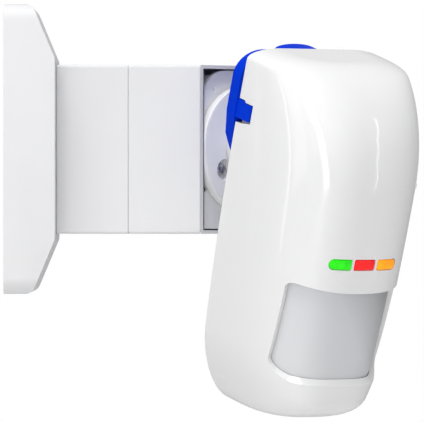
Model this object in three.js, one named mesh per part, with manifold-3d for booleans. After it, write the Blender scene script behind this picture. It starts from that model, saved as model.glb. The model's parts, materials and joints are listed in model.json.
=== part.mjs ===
// A wall-mounted motion sensor on a stacked arm, with a ball joint and a swing-open front cover.
// Millimetres. The origin is the middle of the back face that lies on the wall.
// +X points away from the wall, -Y towards the viewer of the side view, +Z up.
import * as THREE from 'three';
import { mergeVertices } from 'three/addons/utils/BufferGeometryUtils.js';
import Module from 'manifold-3d';

const wasm = await Module();
wasm.setup();

// ---- Driving dimensions ----------------------------------------------------------------------

const GAP = 0.3; // clearance between neighbouring pieces
const WALL = 2; // wall thickness of the moulded shells

// Wall base
const BASE_DEPTH = 18.9;
const BASE_HALF = { y: 37, z: 53.3 };
const BASE_FLAT_HALF = 33.3; // half height of the flat front between the slopes
const BASE_SIDE_DEPTH = 10.5; // where the slopes at the top and bottom start
const BASE_CORNER = 6;
const BASE_SCREWS = [-27, 27]; // y
const PLATE_THICKNESS = 2.2;
const CABLE_HOLE_RADIUS = 7;

// Arm: two spacer blocks and the corner housing share one section
const ARM_HALF = { y: 18.2, z: 31.25 };
const SPACER_LENGTH = 26.3;
const ARM_WALL = 1.6;
const BOLT_PLACES = [[13, 24], [13, -24], [-2, 24], [-2, -24]]; // y, z
const BOLT_RADIUS = 2;

// Corner housing, a right triangle in plan, open on its slanting face
const CORNER_START = BASE_DEPTH + 2 * (GAP + SPACER_LENGTH) + GAP;
const CORNER_FACE_MIDDLE = 90.6; // x of the middle of the open face
const CORNER_SIDE_WALL = 1;
const CORNER_LID = 1.3;
const DISC_RADIUS = 24;
const DISC_THICKNESS = 3.4;
const DISC_SCREWS = [[-13, -7.5], [13, 7.5]]; // x, z
const FLANGE_HALF = { x: 20.6, z: 29.4 };
const FLANGE_THICKNESS = 1.5;

// Ball joint
const BALL_RADIUS = 8;
const BALL_STANDOFF = 7; // ball centre in front of the disc
const LINER = { inner: 8.3, outer: 9.3 };
const CUP = { cavity: 9.6, foot: 12.5, lip: 10.8, rise: 4 };
const NECK_RADIUS = 3.5;
const STUD_FLANGE = { radius: 9.5, back: 11.5, front: 14.4 };
const STUD_SCREWS = [-6.4, 6.4]; // x, on the level of the ball centre

// Head: its pose at rest and its housing
const HEAD_YAW = 37; // degrees from the viewer towards +X
const HEAD_TILT = 16.6; // degrees looking down
const HEAD_FORWARD = 20.2; // back plane of the housing in front of the ball centre
const TOP = 44.5;
const BOTTOM = -88.6;
const WIDTH = { half: 31.3, widestAt: 24, bow: 4.05e-4 };
const DEPTH = { full: 50.4, deepestAt: -20, bow: 3.6e-4 };
const TOP_CORNER = { width: 15, height: 4.2 };
const BOTTOM_CORNER = { width: 17.7, height: 24.7 };
const TOP_ROLL = { start: 3.4, drop: 31 };
const BOTTOM_ROLL = { start: -71.2, drop: 27.1 };
const SQUARENESS = { middle: 3.14, slope: -0.0033 }; // exponent of the rounded front in plan
const COVER_BACK = 0.3;
const FLANK_START = 1.8;

const WINDOW = { topHalf: 23.7, bottomHalf: 23, top: -34.4, bottom: -67.9, corner: 3 };
const LAMP = { pitch: 10.6, width: 9.2, height: 3.8, level: -23.4 };
const TAB = { depth: 8.5, low: 18.3, high: 24.4, inner: 29.8, outer: 31.6 };
const ADAPTER = { half: 32.1, top: 42.6, foot: -14, back: -5.2, floor: -3.6, rim: 2.2 };
const SHOULDER = { width: 12.2, height: 9.7 };
const SPINE = { half: 8, back: -12.4, low: 14, high: 43 };
const ADAPTER_SCREWS = [[0, 33], [0, -10]]; // x, z
const CASING = { inset: 3, wall: 1.8, rim: 12 };
const BOARD = { inset: 6.5, back: 14, front: 15.6 };
const BOARD_POSTS = [[-18, 33], [18, 33], [-13, -58], [13, -58]];
const SENSOR_LEVEL = -48;
const TAMPER_PLACE = [20, 5];
const TRIMMER = { x: 15.3, levels: [-8, -18], half: 3.3 };
const COVER_SCREW_DEPTH = 9; // in front of the housing's back plane

// ---- Finishes --------------------------------------------------------------------------------

const finish = (color, roughness, metalness = 0) =>
  new THREE.MeshStandardMaterial({ color, roughness, metalness });

const FINISHES = {
  armPlastic: finish('#eeeff2', 0.55),
  coverPlastic: finish('#f4f4f6', 0.18),
  innerPlastic: finish('#d9dadd', 0.6),
  bluePlastic: finish('#0b3fc4', 0.45),
  lensPlastic: finish('#dfe3e8', 0.35),
  greenLamp: finish('#2fbf3a', 0.2),
  redLamp: finish('#e0242c', 0.2),
  yellowLamp: finish('#f5a21c', 0.2),
  steel: finish('#b9bcc0', 0.35, 1),
  tin: finish('#cfd2d4', 0.4, 1),
  circuitBoard: finish('#1d6b3a', 0.5),
  blackPlastic: finish('#24262a', 0.5),
  greyRubber: finish('#6d7075', 0.8),
};

// ---- Solids and booleans ---------------------------------------------------------------------

function toSolid(geometry) {
  const bare = geometry.clone();
  bare.deleteAttribute('normal');
  bare.deleteAttribute('uv');
  const merged = mergeVertices(bare, 1e-4);
  const corners = [];
  for (let i = 0; i < merged.index.count; i += 3) {
    const [a, b, c] = merged.index.array.slice(i, i + 3);
    if (a !== b && b !== c && c !== a) corners.push(a, b, c);
  }
  return new wasm.Manifold(new wasm.Mesh({
    numProp: 3,
    vertProperties: new Float32Array(merged.attributes.position.array),
    triVerts: new Uint32Array(corners),
  }));
}

function toGeometry(solid) {
  const mesh = solid.getMesh();
  const geometry = new THREE.BufferGeometry();
  geometry.setAttribute('position', new THREE.BufferAttribute(mesh.vertProperties, 3));
  geometry.setIndex(new THREE.BufferAttribute(mesh.triVerts, 1));
  return geometry;
}

const combine = (operation) => (first, ...others) =>
  toGeometry(others.reduce((solid, other) => solid[operation](toSolid(other)), toSolid(first)));
const join = combine('add');
const cut = combine('subtract');
const overlap = combine('intersect');

// ---- Building blocks -------------------------------------------------------------------------

// A box between two limits along each axis
function block([x0, x1], [y0, y1], [z0, z1]) {
  return new THREE.BoxGeometry(x1 - x0, y1 - y0, z1 - z0)
    .translate((x0 + x1) / 2, (y0 + y1) / 2, (z0 + z1) / 2);
}

// In the turned groups "forward" is local -Y, so a forward span is given from back to front
const forwardBlock = ([x0, x1], [back, front], [z0, z1]) =>
  block([x0, x1], [-front, -back], [z0, z1]);

const extrude = (shape, length) =>
  new THREE.ExtrudeGeometry(shape, { depth: length, bevelEnabled: false, curveSegments: 4 });

// A shape drawn in x and z, extruded forward
const panel = (shape, [back, front]) =>
  extrude(shape, front - back).rotateX(Math.PI / 2).translate(0, -back, 0);

// A shape drawn in y and z, extruded along X
const beam = (shape, [from, to]) =>
  extrude(shape, to - from).rotateX(Math.PI / 2).rotateZ(Math.PI / 2).translate(from, 0, 0);

const rodAlongX = (radius, [from, to], y, z, sides = 16) =>
  new THREE.CylinderGeometry(radius, radius, to - from, sides)
    .rotateZ(Math.PI / 2).translate((from + to) / 2, y, z);

const rodForward = (radius, [back, front], x, z, sides = 16) =>
  new THREE.CylinderGeometry(radius, radius, front - back, sides)
    .translate(x, -(back + front) / 2, z);

const rodUp = (radius, [low, high], x, y, sides = 16) =>
  new THREE.CylinderGeometry(radius, radius, high - low, sides)
    .rotateX(Math.PI / 2).translate(x, y, (low + high) / 2);

// A turned piece: pairs of radius and height, its axis along +Y
const turned = (profile, sides = 14) =>
  new THREE.LatheGeometry(profile.map(([radius, height]) => new THREE.Vector2(radius, height)), sides);

// A turned piece whose heights run forward
const turnedForward = (profile, sides) => turned(profile, sides).rotateX(Math.PI);

// A screw from the top of its head down to the tip of its shank, along -Y
const screw = (headRadius, headHeight, shankRadius, length) => turned([
  [0, -length],
  [shankRadius, -length],
  [shankRadius, -headHeight],
  [headRadius, -headHeight],
  [headRadius * 0.98, -headHeight * 0.3],
  [headRadius * 0.7, 0],
  [0, 0],
]);

const arcPoints = (radius, centre, from, to, steps) =>
  Array.from({ length: steps + 1 }, (_, i) => {
    const angle = THREE.MathUtils.degToRad(from + (to - from) * i / steps);
    return [radius * Math.cos(angle), centre + radius * Math.sin(angle)];
  });

// A rectangle with its own radius at the lower and upper corners
function roundedRectangle(halfWidth, low, high, lowRadius, highRadius = lowRadius) {
  const shape = new THREE.Shape();
  shape.moveTo(-halfWidth + lowRadius, low);
  shape.lineTo(halfWidth - lowRadius, low);
  shape.absarc(halfWidth - lowRadius, low + lowRadius, lowRadius, -Math.PI / 2, 0);
  shape.absarc(halfWidth - highRadius, high - highRadius, highRadius, 0, Math.PI / 2);
  shape.absarc(-halfWidth + highRadius, high - highRadius, highRadius, Math.PI / 2, Math.PI);
  shape.absarc(-halfWidth + lowRadius, low + lowRadius, lowRadius, Math.PI, Math.PI * 1.5);
  return shape;
}

const polygon = (points) => new THREE.Shape(points.map(([x, y]) => new THREE.Vector2(x, y)));

// Rings of points from the lowest to the highest, each counter-clockwise seen from above
function loft(rings) {
  const count = rings[0].length;
  const top = (rings.length - 1) * count;
  const index = [];
  for (let level = 0; level < rings.length - 1; level += 1) {
    for (let j = 0; j < count; j += 1) {
      const a = level * count + j;
      const b = level * count + (j + 1) % count;
      index.push(a, b, b + count, a, b + count, a + count);
    }
  }
  for (let j = 1; j < count - 1; j += 1) {
    index.push(0, j + 1, j);
    index.push(top, top + j, top + j + 1);
  }
  const geometry = new THREE.BufferGeometry();
  geometry.setAttribute('position', new THREE.Float32BufferAttribute(rings.flat(2), 3));
  geometry.setIndex(index);
  return geometry;
}

function addPiece(group, name, geometry, material) {
  const mesh = new THREE.Mesh(geometry, material);
  mesh.name = name;
  group.add(mesh);
  return mesh;
}

// ---- Form of the head housing ----------------------------------------------------------------

// How far a quarter ellipse has fallen, from 0 at its start to 1 at its end
const quarterDrop = (s) => 1 - Math.sqrt(1 - THREE.MathUtils.clamp(s, 0, 1) ** 2);

function halfWidthAt(height) {
  const bowed = WIDTH.half - WIDTH.bow * (height - WIDTH.widestAt) ** 2;
  const intoTop = (height - TOP) / TOP_CORNER.height + 1;
  const intoBottom = (BOTTOM - height) / BOTTOM_CORNER.height + 1;
  return bowed - TOP_CORNER.width * quarterDrop(intoTop)
    - BOTTOM_CORNER.width * quarterDrop(intoBottom);
}

function depthAt(height) {
  const bowed = DEPTH.full - DEPTH.bow * (height - DEPTH.deepestAt) ** 2;
  const intoTop = (height - TOP_ROLL.start) / (TOP - TOP_ROLL.start);
  const intoBottom = (BOTTOM_ROLL.start - height) / (BOTTOM_ROLL.start - BOTTOM);
  return bowed - TOP_ROLL.drop * quarterDrop(intoTop)
    - BOTTOM_ROLL.drop * quarterDrop(intoBottom);
}

// Heights that crowd together towards both ends, where the housing curves most
function housingHeights(steps) {
  const middle = (TOP + BOTTOM) / 2;
  const reach = (TOP - BOTTOM) / 2;
  return Array.from({ length: steps + 1 }, (_, i) =>
    middle - reach * Math.sin(Math.PI / 2 * Math.cos(Math.PI * i / steps)));
}

// Where a height moves to when the whole form is drawn in by an inset
const insetHeight = (height, inset) =>
  height + inset * (1 - 2 * (height - BOTTOM) / (TOP - BOTTOM));

// One level of the housing: two back corners and a squarish rounded front
function housingRing(height, inset, back, steps) {
  const half = halfWidthAt(height) - inset;
  const reach = depthAt(height) - inset - FLANK_START;
  const z = insetHeight(height, inset);
  const power = 2 / (SQUARENESS.middle + SQUARENESS.slope * height);
  const ring = [[half, -back, z], [-half, -back, z]];
  for (let i = 0; i <= steps; i += 1) {
    const angle = Math.PI * i / steps;
    const across = -Math.sign(Math.cos(angle)) * Math.abs(Math.cos(angle)) ** power;
    const forward = Math.sin(angle) ** power;
    ring.push([half * across, -FLANK_START - reach * forward, z]);
  }
  return ring;
}

const housingSolid = (inset, back = COVER_BACK) =>
  loft(housingHeights(18).map((height) => housingRing(height, inset, back, 18)));

// The housing's outline seen from the front, drawn in by an inset
function housingOutline(inset) {
  const right = housingHeights(14).map((height) =>
    [halfWidthAt(height) - inset, insetHeight(height, inset)]);
  const left = right.map(([x, z]) => [-x, z]).reverse();
  return polygon([...right, ...left]);
}

// ---- Wall base and arm -----------------------------------------------------------------------

// The base from the side, with a slope at the top and the bottom, drawn in by an inset
function slopedProfile(inset) {
  const front = BASE_DEPTH - inset;
  const back = inset === 0 ? 0 : -5;
  const half = BASE_HALF.z - inset;
  return [
    [back, -half],
    [BASE_SIDE_DEPTH - inset / 2, -half],
    [front, -BASE_FLAT_HALF + inset / 2],
    [front, BASE_FLAT_HALF - inset / 2],
    [BASE_SIDE_DEPTH - inset / 2, half],
    [back, half],
  ];
}

function baseForm(inset) {
  const span = 2 * BASE_HALF.y + 10;
  const fromSide = extrude(polygon(slopedProfile(inset)), span)
    .rotateX(Math.PI / 2).translate(0, span / 2, 0);
  const { y, z } = BASE_HALF;
  const fromFront = roundedRectangle(y - inset, -z + inset, z - inset, BASE_CORNER - inset);
  return overlap(fromSide, beam(fromFront, [-8, BASE_DEPTH + 5]));
}

const boltHoles = (span) =>
  BOLT_PLACES.map(([y, z]) => rodAlongX(BOLT_RADIUS + GAP, span, y, z, 8));

function buildBase(group) {
  const postEnd = BASE_DEPTH - WALL - 2.4;
  const plateHalf = { y: BASE_HALF.y - WALL - 0.4, z: BASE_HALF.z - WALL - 0.4 };
  const wallScrewHoles = [[-25, -38], [25, -38], [-25, 38], [25, 38]].map(([y, z]) =>
    rodAlongX(2.5, [-1, 5], y, z, 10));
  const posts = BASE_SCREWS.map((y) =>
    rodAlongX(3.6, [PLATE_THICKNESS - 0.5, postEnd], y, 0));
  const postBores = BASE_SCREWS.map((y) => rodAlongX(1.8, [5, postEnd + 1], y, 0, 12));
  const sheet = roundedRectangle(plateHalf.y, -plateHalf.z, plateHalf.z, BASE_CORNER - WALL);
  const plate = join(beam(sheet, [0, PLATE_THICKNESS]), ...posts);
  const plateCableHole = rodAlongX(CABLE_HOLE_RADIUS, [-1, 5], 0, -20);
  addPiece(group, 'wall_plate', cut(plate, plateCableHole, ...postBores, ...wallScrewHoles),
    FINISHES.innerPlastic);

  const coverCableHole = rodAlongX(CABLE_HOLE_RADIUS, [10, 25], 0, 0);
  const coverScrewHoles = BASE_SCREWS.map((y) => rodAlongX(1.8, [10, 25], y, 0, 12));
  const sinks = BASE_SCREWS.map((y) => rodAlongX(2.6, [BASE_DEPTH - 1.4, 25], y, 0, 16));
  const cover = cut(baseForm(0), baseForm(WALL), coverCableHole, ...coverScrewHoles, ...sinks,
    ...boltHoles([10, 25]));
  addPiece(group, 'base_cover', cover, FINISHES.armPlastic);

  BASE_SCREWS.forEach((y, i) => {
    const piece = addPiece(group, `base_cover_screw_${i + 1}`, screw(2.2, 1, 1.4, 9),
      FINISHES.steel);
    piece.position.set(BASE_DEPTH - 0.1, y, 0);
    piece.rotation.z = -Math.PI / 2;
  });
}

function buildSpacers(group) {
  for (let i = 0; i < 2; i += 1) {
    const start = BASE_DEPTH + GAP + i * (SPACER_LENGTH + GAP);
    const end = start + SPACER_LENGTH;
    const section = roundedRectangle(ARM_HALF.y, -ARM_HALF.z, ARM_HALF.z, 1);
    const hollow = block([start + ARM_WALL, end - ARM_WALL],
      [-ARM_HALF.y + ARM_WALL, ARM_HALF.y - ARM_WALL],
      [-ARM_HALF.z + ARM_WALL, ARM_HALF.z - ARM_WALL]);
    const cableHole = rodAlongX(CABLE_HOLE_RADIUS, [start - 1, end + 1], 0, 0);
    const spacer = cut(beam(section, [start, end]), hollow, cableHole,
      ...boltHoles([start - 1, end + 1]));
    addPiece(group, `spacer_${i + 1}`, spacer, FINISHES.armPlastic);
  }
  BOLT_PLACES.forEach(([y, z], i) => {
    const headStart = BASE_DEPTH - WALL - GAP - 3;
    const bolt = addPiece(group, `stack_bolt_${i + 1}`,
      screw(3.6, 3, BOLT_RADIUS, CORNER_START + 3.5 - headStart), FINISHES.steel);
    bolt.position.set(headStart, y, z);
    bolt.rotation.z = Math.PI / 2;
  });
}

// The space inside the corner housing, drawn in by an inset and open past the slanting face
function cornerCavity(inset) {
  const side = CORNER_START + CORNER_SIDE_WALL + inset;
  const back = ARM_HALF.y - ARM_WALL - inset;
  const lid = ARM_HALF.z - CORNER_LID - inset;
  const reach = 60;
  return extrude(polygon([[side, back], [side, -reach], [side + reach + back, back]]), 2 * lid)
    .translate(0, 0, -lid);
}

function buildCornerHousing(group) {
  const { y, z } = ARM_HALF;
  const plan = polygon([
    [CORNER_START, -y],
    [CORNER_FACE_MIDDLE - y, -y],
    [CORNER_FACE_MIDDLE + y, y],
    [CORNER_START, y],
  ]);
  const bosses = BOLT_PLACES.map(([boltY, boltZ]) =>
    rodAlongX(4, [CORNER_START + 0.5, CORNER_START + 3.8], boltY, boltZ, 16));
  const shell = cut(extrude(plan, 2 * z).translate(0, 0, -z), cornerCavity(0));
  const cableHole = rodAlongX(CABLE_HOLE_RADIUS, [CORNER_START - 1, CORNER_START + 3], 0, 0);
  const housing = cut(join(shell, ...bosses), cableHole,
    ...boltHoles([CORNER_START - 1, CORNER_START + 5]));
  addPiece(group, 'corner_housing', housing, FINISHES.armPlastic);
}

// The cavity as it lies in the turned frame of the slanting face
const cavityInFaceFrame = () => cornerCavity(GAP)
  .translate(-CORNER_FACE_MIDDLE, 0, 0).rotateZ(-Math.PI / 4);

// Everything on the slanting face; forward is out of the face
function buildSocketSide(face) {
  const flangeFront = -DISC_THICKNESS - GAP;
  const flangeSpan = [flangeFront - FLANGE_THICKNESS, flangeFront];
  const flangeShape = roundedRectangle(FLANGE_HALF.x, -FLANGE_HALF.z, FLANGE_HALF.z, 0.8, 11);
  const screwHoles = DISC_SCREWS.map(([x, z]) => rodForward(1.7, [-10, 2], x, z, 12));
  const recesses = DISC_SCREWS.map(([x, z]) => rodForward(3.7, [-2.6, 2], x, z));
  const cableHole = rodForward(CABLE_HOLE_RADIUS, [-10, 2], 0, 0);
  const flange = cut(overlap(panel(flangeShape, flangeSpan), cavityInFaceFrame()),
    cableHole, ...screwHoles);
  addPiece(face, 'socket_flange', flange, FINISHES.innerPlastic);

  const discBody = overlap(rodForward(DISC_RADIUS, [-DISC_THICKNESS, 0], 0, 0, 40),
    cavityInFaceFrame());
  addPiece(face, 'socket_disc', cut(discBody, cableHole, ...recesses, ...screwHoles),
    FINISHES.armPlastic);

  DISC_SCREWS.forEach(([x, z], i) => {
    const piece = addPiece(face, `socket_screw_${i + 1}`, screw(2.5, 1.3, 1.4, 6),
      FINISHES.steel);
    piece.position.set(x, 1, z);
    piece.rotation.x = Math.PI;
  });

  const seal = turnedForward([
    [2.2, flangeSpan[0]], [6.6, flangeSpan[0]], [6.6, flangeSpan[1]], [2.2, flangeSpan[1]],
    [2.2, flangeSpan[0]],
  ], 20);
  addPiece(face, 'cable_seal', seal, FINISHES.greyRubber);

  const cavityBottom = THREE.MathUtils.radToDeg(Math.asin((GAP - BALL_STANDOFF) / CUP.cavity));
  const cavityTop = THREE.MathUtils.radToDeg(Math.asin(CUP.rise / CUP.cavity));
  const lipHeight = BALL_STANDOFF + CUP.rise;
  const cupProfile = [
    [CUP.foot, GAP],
    [CUP.foot, BALL_STANDOFF - 3],
    [CUP.lip, lipHeight],
    ...arcPoints(CUP.cavity, BALL_STANDOFF, cavityTop, cavityBottom, 5),
    [CUP.foot, GAP],
  ];
  addPiece(face, 'ball_socket', turnedForward(cupProfile, 24), FINISHES.armPlastic);
}

// ---- Ball, neck and adapter ------------------------------------------------------------------

function buildLiner(swivel) {
  const profile = [
    ...arcPoints(LINER.outer, 0, -38, 22, 4),
    ...arcPoints(LINER.inner, 0, 22, -38, 4),
  ];
  addPiece(swivel, 'ball_liner', turnedForward([...profile, profile[0]], 20),
    FINISHES.greyRubber);
}

function buildBallStud(tilting) {
  const bore = 2.2;
  const ballTop = THREE.MathUtils.radToDeg(Math.acos(NECK_RADIUS / BALL_RADIUS));
  const ballBottom = THREE.MathUtils.radToDeg(Math.acos(bore / BALL_RADIUS));
  const outside = arcPoints(BALL_RADIUS, 0, -ballBottom, ballTop, 9);
  const profile = [
    ...outside,
    [NECK_RADIUS, STUD_FLANGE.back],
    [STUD_FLANGE.radius, STUD_FLANGE.back],
    [STUD_FLANGE.radius, STUD_FLANGE.front],
    [bore, STUD_FLANGE.front],
    outside[0],
  ];
  const counterbores = STUD_SCREWS.map((x) =>
    rodForward(2.6, [STUD_FLANGE.back - 1, STUD_FLANGE.back + 1.6], x, 0, 12));
  const holes = STUD_SCREWS.map((x) => rodForward(1.5, [5, 20], x, 0, 10));
  addPiece(tilting, 'ball_stud', cut(turnedForward(profile, 20), ...counterbores, ...holes),
    FINISHES.steel);
  STUD_SCREWS.forEach((x, i) => {
    const piece = addPiece(tilting, `stud_screw_${i + 1}`, screw(2.2, 1.2, 1.2, 6.5),
      FINISHES.steel);
    piece.position.set(x, -STUD_FLANGE.back - 0.1, 0);
  });
}

// Shield outline of the adapter: flat top, elliptical shoulders, a tapering rounded foot
function adapterOutline(inset) {
  const half = ADAPTER.half - inset;
  const top = ADAPTER.top - inset;
  const foot = ADAPTER.foot + inset;
  const shape = new THREE.Shape();
  const [shoulderX, shoulderZ] = [half - SHOULDER.width, top - SHOULDER.height];
  shape.moveTo(0, foot);
  shape.quadraticCurveTo(half * 0.62, foot + 2, half - 1.3, 11);
  shape.lineTo(half, 20);
  shape.absellipse(shoulderX, shoulderZ, SHOULDER.width, SHOULDER.height, 0, Math.PI / 2);
  shape.absellipse(-shoulderX, shoulderZ, SHOULDER.width, SHOULDER.height, Math.PI / 2, Math.PI);
  shape.lineTo(-half, 20);
  shape.lineTo(-half + 1.3, 11);
  shape.quadraticCurveTo(-half * 0.62, foot + 2, 0, foot);
  return shape;
}

// The head frame: forward 0 is the housing's back plane, height 0 is the ball centre's level
function buildAdapter(head) {
  const { back, floor, rim } = ADAPTER;
  const pocket = panel(adapterOutline(rim), [floor, 1]);
  const bosses = ADAPTER_SCREWS.map(([x, z]) => rodForward(3.4, [floor - 0.5, -GAP], x, z, 16));
  const hub = rodForward(10, [floor - 0.5, -GAP], 0, 0);
  const spine = extrude(polygon([
    [back + 0.7, SPINE.low],
    [back + 0.7, SPINE.high],
    [SPINE.back + 1.4, SPINE.high],
    [SPINE.back, SPINE.high - 1.4],
    [SPINE.back, SPINE.low + 13],
  ]), 2 * SPINE.half).rotateX(Math.PI / 2).rotateZ(-Math.PI / 2).translate(SPINE.half, 0, 0);
  const tabs = [-1, 1].map((side) => {
    const [inner, outer] = side < 0 ? [-TAB.outer, -TAB.inner] : [TAB.inner, TAB.outer];
    return forwardBlock([inner, outer], [-2, TAB.depth], [TAB.low, TAB.high]);
  });
  const shell = join(cut(panel(adapterOutline(0), [back, -GAP]), pocket), ...bosses, hub, spine,
    ...tabs);
  const screwHoles = ADAPTER_SCREWS.map(([x, z]) => rodForward(1.5, [-4.8, 2], x, z, 10));
  const studHoles = STUD_SCREWS.map((x) => rodForward(1.5, [-8, 2], x, 0, 10));
  const cableHole = rodForward(3, [-8, 2], 0, 0, 16);
  addPiece(head, 'mount_adapter', cut(shell, cableHole, ...screwHoles, ...studHoles),
    FINISHES.bluePlastic);
  ADAPTER_SCREWS.forEach(([x, z], i) => {
    const piece = addPiece(head, `adapter_screw_${i + 1}`, screw(2.6, 1.4, 1.2, 6.6),
      FINISHES.steel);
    piece.position.set(x, -CASING.wall - GAP - 1.4, z);
    piece.rotation.x = Math.PI;
  });
}

// ---- Rear casing and electronics -------------------------------------------------------------

function buildRearCasing(head) {
  const outside = panel(housingOutline(CASING.inset), [0, CASING.rim]);
  const hollow = panel(housingOutline(CASING.inset + CASING.wall), [CASING.wall, CASING.rim + 5]);
  const posts = BOARD_POSTS.map(([x, z]) =>
    rodForward(3, [CASING.wall - 0.5, BOARD.back - GAP], x, z, 14));
  const postBores = BOARD_POSTS.map(([x, z]) => rodForward(1.4, [6, 20], x, z, 10));
  const cableHole = rodForward(4.5, [-2, 5], 0, 0, 16);
  const screwHoles = ADAPTER_SCREWS.map(([x, z]) => rodForward(1.6, [-2, 5], x, z, 10));
  addPiece(head, 'rear_casing',
    cut(join(cut(outside, hollow), ...posts), cableHole, ...postBores, ...screwHoles),
    FINISHES.innerPlastic);

  const gasket = cut(
    panel(housingOutline(CASING.inset + 0.2), [CASING.rim + GAP, CASING.rim + 1.1]),
    panel(housingOutline(CASING.inset + 1.5), [10, 20]),
  );
  addPiece(head, 'case_gasket', gasket, FINISHES.greyRubber);

  const grommet = turnedForward([
    [1.8, -GAP + 0.4], [4.2, -GAP + 0.4], [4.2, CASING.wall + GAP], [5.6, CASING.wall + GAP],
    [5.6, CASING.wall + 1.4], [1.8, CASING.wall + 1.4], [1.8, -GAP + 0.4],
  ], 20);
  addPiece(head, 'cable_grommet', grommet, FINISHES.greyRubber);
}

function buildBoard(head) {
  const holes = BOARD_POSTS.map(([x, z]) => rodForward(1.5, [10, 20], x, z, 10));
  const sheet = panel(housingOutline(BOARD.inset), [BOARD.back, BOARD.front]);
  addPiece(head, 'main_board', cut(sheet, ...holes), FINISHES.circuitBoard);
  BOARD_POSTS.slice(0, 2).forEach(([x, z], i) => {
    const piece = addPiece(head, `board_screw_${i + 1}`, screw(2.6, 1.4, 1.1, 7), FINISHES.steel);
    piece.position.set(x, -BOARD.front - GAP - 1.4, z);
    piece.rotation.x = Math.PI;
  });
}

// Parts on the main board, each starting just in front of it
function buildElectronics(head) {
  const seat = BOARD.front + GAP;
  const boxPart = (name, [x, z], [width, height], depth, material) => addPiece(head, name,
    forwardBlock([x - width / 2, x + width / 2], [seat, seat + depth],
      [z - height / 2, z + height / 2]), material);

  boxPart('terminal_block', [0, -67], [30, 8], 9, FINISHES.blackPlastic);
  boxPart('alarm_relay', [-18, -10], [8, 15], 9, FINISHES.blackPlastic);
  boxPart('tamper_relay', [-18, -28], [8, 15], 9, FINISHES.blackPlastic);
  addPiece(head, 'capacitor', rodForward(3.2, [seat, seat + 9], 15, -30), FINISHES.blackPlastic);

  addPiece(head, 'pyro_sensor', rodForward(4.6, [seat, seat + 4.5], 0, SENSOR_LEVEL, 24),
    FINISHES.tin);
  const shroud = cut(
    forwardBlock([-10, 10], [seat, seat + 8], [SENSOR_LEVEL - 8, SENSOR_LEVEL + 8]),
    rodForward(4.9, [10, seat + 5], 0, SENSOR_LEVEL, 24),
    forwardBlock([-8.4, 8.4], [seat + 4.6, 40], [SENSOR_LEVEL - 6.4, SENSOR_LEVEL + 6.4]),
  );
  addPiece(head, 'sensor_shroud', shroud, FINISHES.blackPlastic);

  const standoffs = [[-12.6, 4.4], [12.6, 4.4], [-12.6, 28.6], [12.6, 28.6]].map(([x, z]) =>
    rodForward(1.2, [seat, 20.5], x, z, 10));
  addPiece(head, 'microwave_board', join(forwardBlock([-14, 14], [20, 21.2], [3, 30]),
    ...standoffs), FINISHES.circuitBoard);
  const can = cut(forwardBlock([-12, 12], [21.5, 28], [5, 28]),
    forwardBlock([-11.3, 11.3], [21, 27.3], [5.7, 27.3]));
  addPiece(head, 'microwave_shield', can, FINISHES.tin);

  const lampNames = ['green', 'red', 'yellow'];
  lampNames.forEach((colour, i) => {
    const x = (i - 1) * LAMP.pitch;
    addPiece(head, `led_${colour}`, rodForward(1.5, [seat, seat + 4], x, LAMP.level, 14),
      FINISHES[`${colour}Lamp`]);
  });

  const [switchX, switchZ] = TAMPER_PLACE;
  const switchBody = cut(
    forwardBlock([switchX - 3.2, switchX + 3.2], [seat, seat + 6], [switchZ - 3.2, switchZ + 3.2]),
    rodForward(1.9, [seat + 1.5, seat + 8], switchX, switchZ, 14),
  );
  addPiece(head, 'tamper_switch', switchBody, FINISHES.blackPlastic);
  addPiece(head, 'tamper_plunger',
    rodForward(1.5, [seat + 3, seat + 9], switchX, switchZ, 16), FINISHES.redLamp);

  const { x: trimmerX, levels, half } = TRIMMER;
  levels.forEach((z, i) => {
    const body = forwardBlock([trimmerX - half, trimmerX + half], [seat, seat + 4.4],
      [z - half, z + half]);
    const bowl = cut(body, rodForward(2.5, [seat + 1.2, seat + 6], trimmerX, z, 18));
    addPiece(head, `trimmer_body_${i + 1}`, bowl, FINISHES.blackPlastic);
    const rotor = cut(rodForward(2.1, [seat + 1.6, seat + 5.2], trimmerX, z, 18),
      forwardBlock([trimmerX - 1.4, trimmerX + 1.4], [seat + 4.4, seat + 6], [z - 0.35, z + 0.35]));
    addPiece(head, `trimmer_rotor_${i + 1}`, rotor, FINISHES.innerPlastic);
  });
}

// ---- Front cover and what it carries ---------------------------------------------------------

// The lens window seen from the front, wider than its cut-out by a margin
function windowShape(margin) {
  const { topHalf, bottomHalf, top, bottom, corner } = WINDOW;
  const right = [[bottomHalf + margin, bottom - margin], [topHalf + margin, top + margin]];
  const shape = new THREE.Shape();
  shape.moveTo(-right[0][0] + corner, right[0][1]);
  shape.lineTo(right[0][0] - corner, right[0][1]);
  shape.quadraticCurveTo(right[0][0], right[0][1], right[0][0], right[0][1] + corner);
  shape.lineTo(...right[1]);
  shape.lineTo(-right[1][0], right[1][1]);
  shape.lineTo(-right[0][0], right[0][1] + corner);
  shape.quadraticCurveTo(-right[0][0], right[0][1], -right[0][0] + corner, right[0][1]);
  return shape;
}

const lampPrism = (place, margin, span) => {
  const half = LAMP.width / 2 + margin;
  const tall = LAMP.height / 2 + margin;
  return panel(roundedRectangle(half, LAMP.level - tall, LAMP.level + tall, 0.6), span)
    .translate((place - 1) * LAMP.pitch, 0, 0);
};

// The notch in each flank that the adapter's tab lies in, wider at the back for the swing
function tabNotch(side) {
  const profile = polygon([
    [-5, TAB.low - 2.4],
    [COVER_BACK, TAB.low - 2.3],
    [TAB.depth + 0.6, TAB.low - 1.1],
    [TAB.depth + 0.6, TAB.high + GAP],
    [-5, TAB.high + GAP],
  ]);
  return extrude(profile, 8).rotateX(Math.PI / 2).rotateZ(-Math.PI / 2)
    .translate(side > 0 ? TAB.inner + 6 : -TAB.inner + 2, 0, 0);
}

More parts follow.
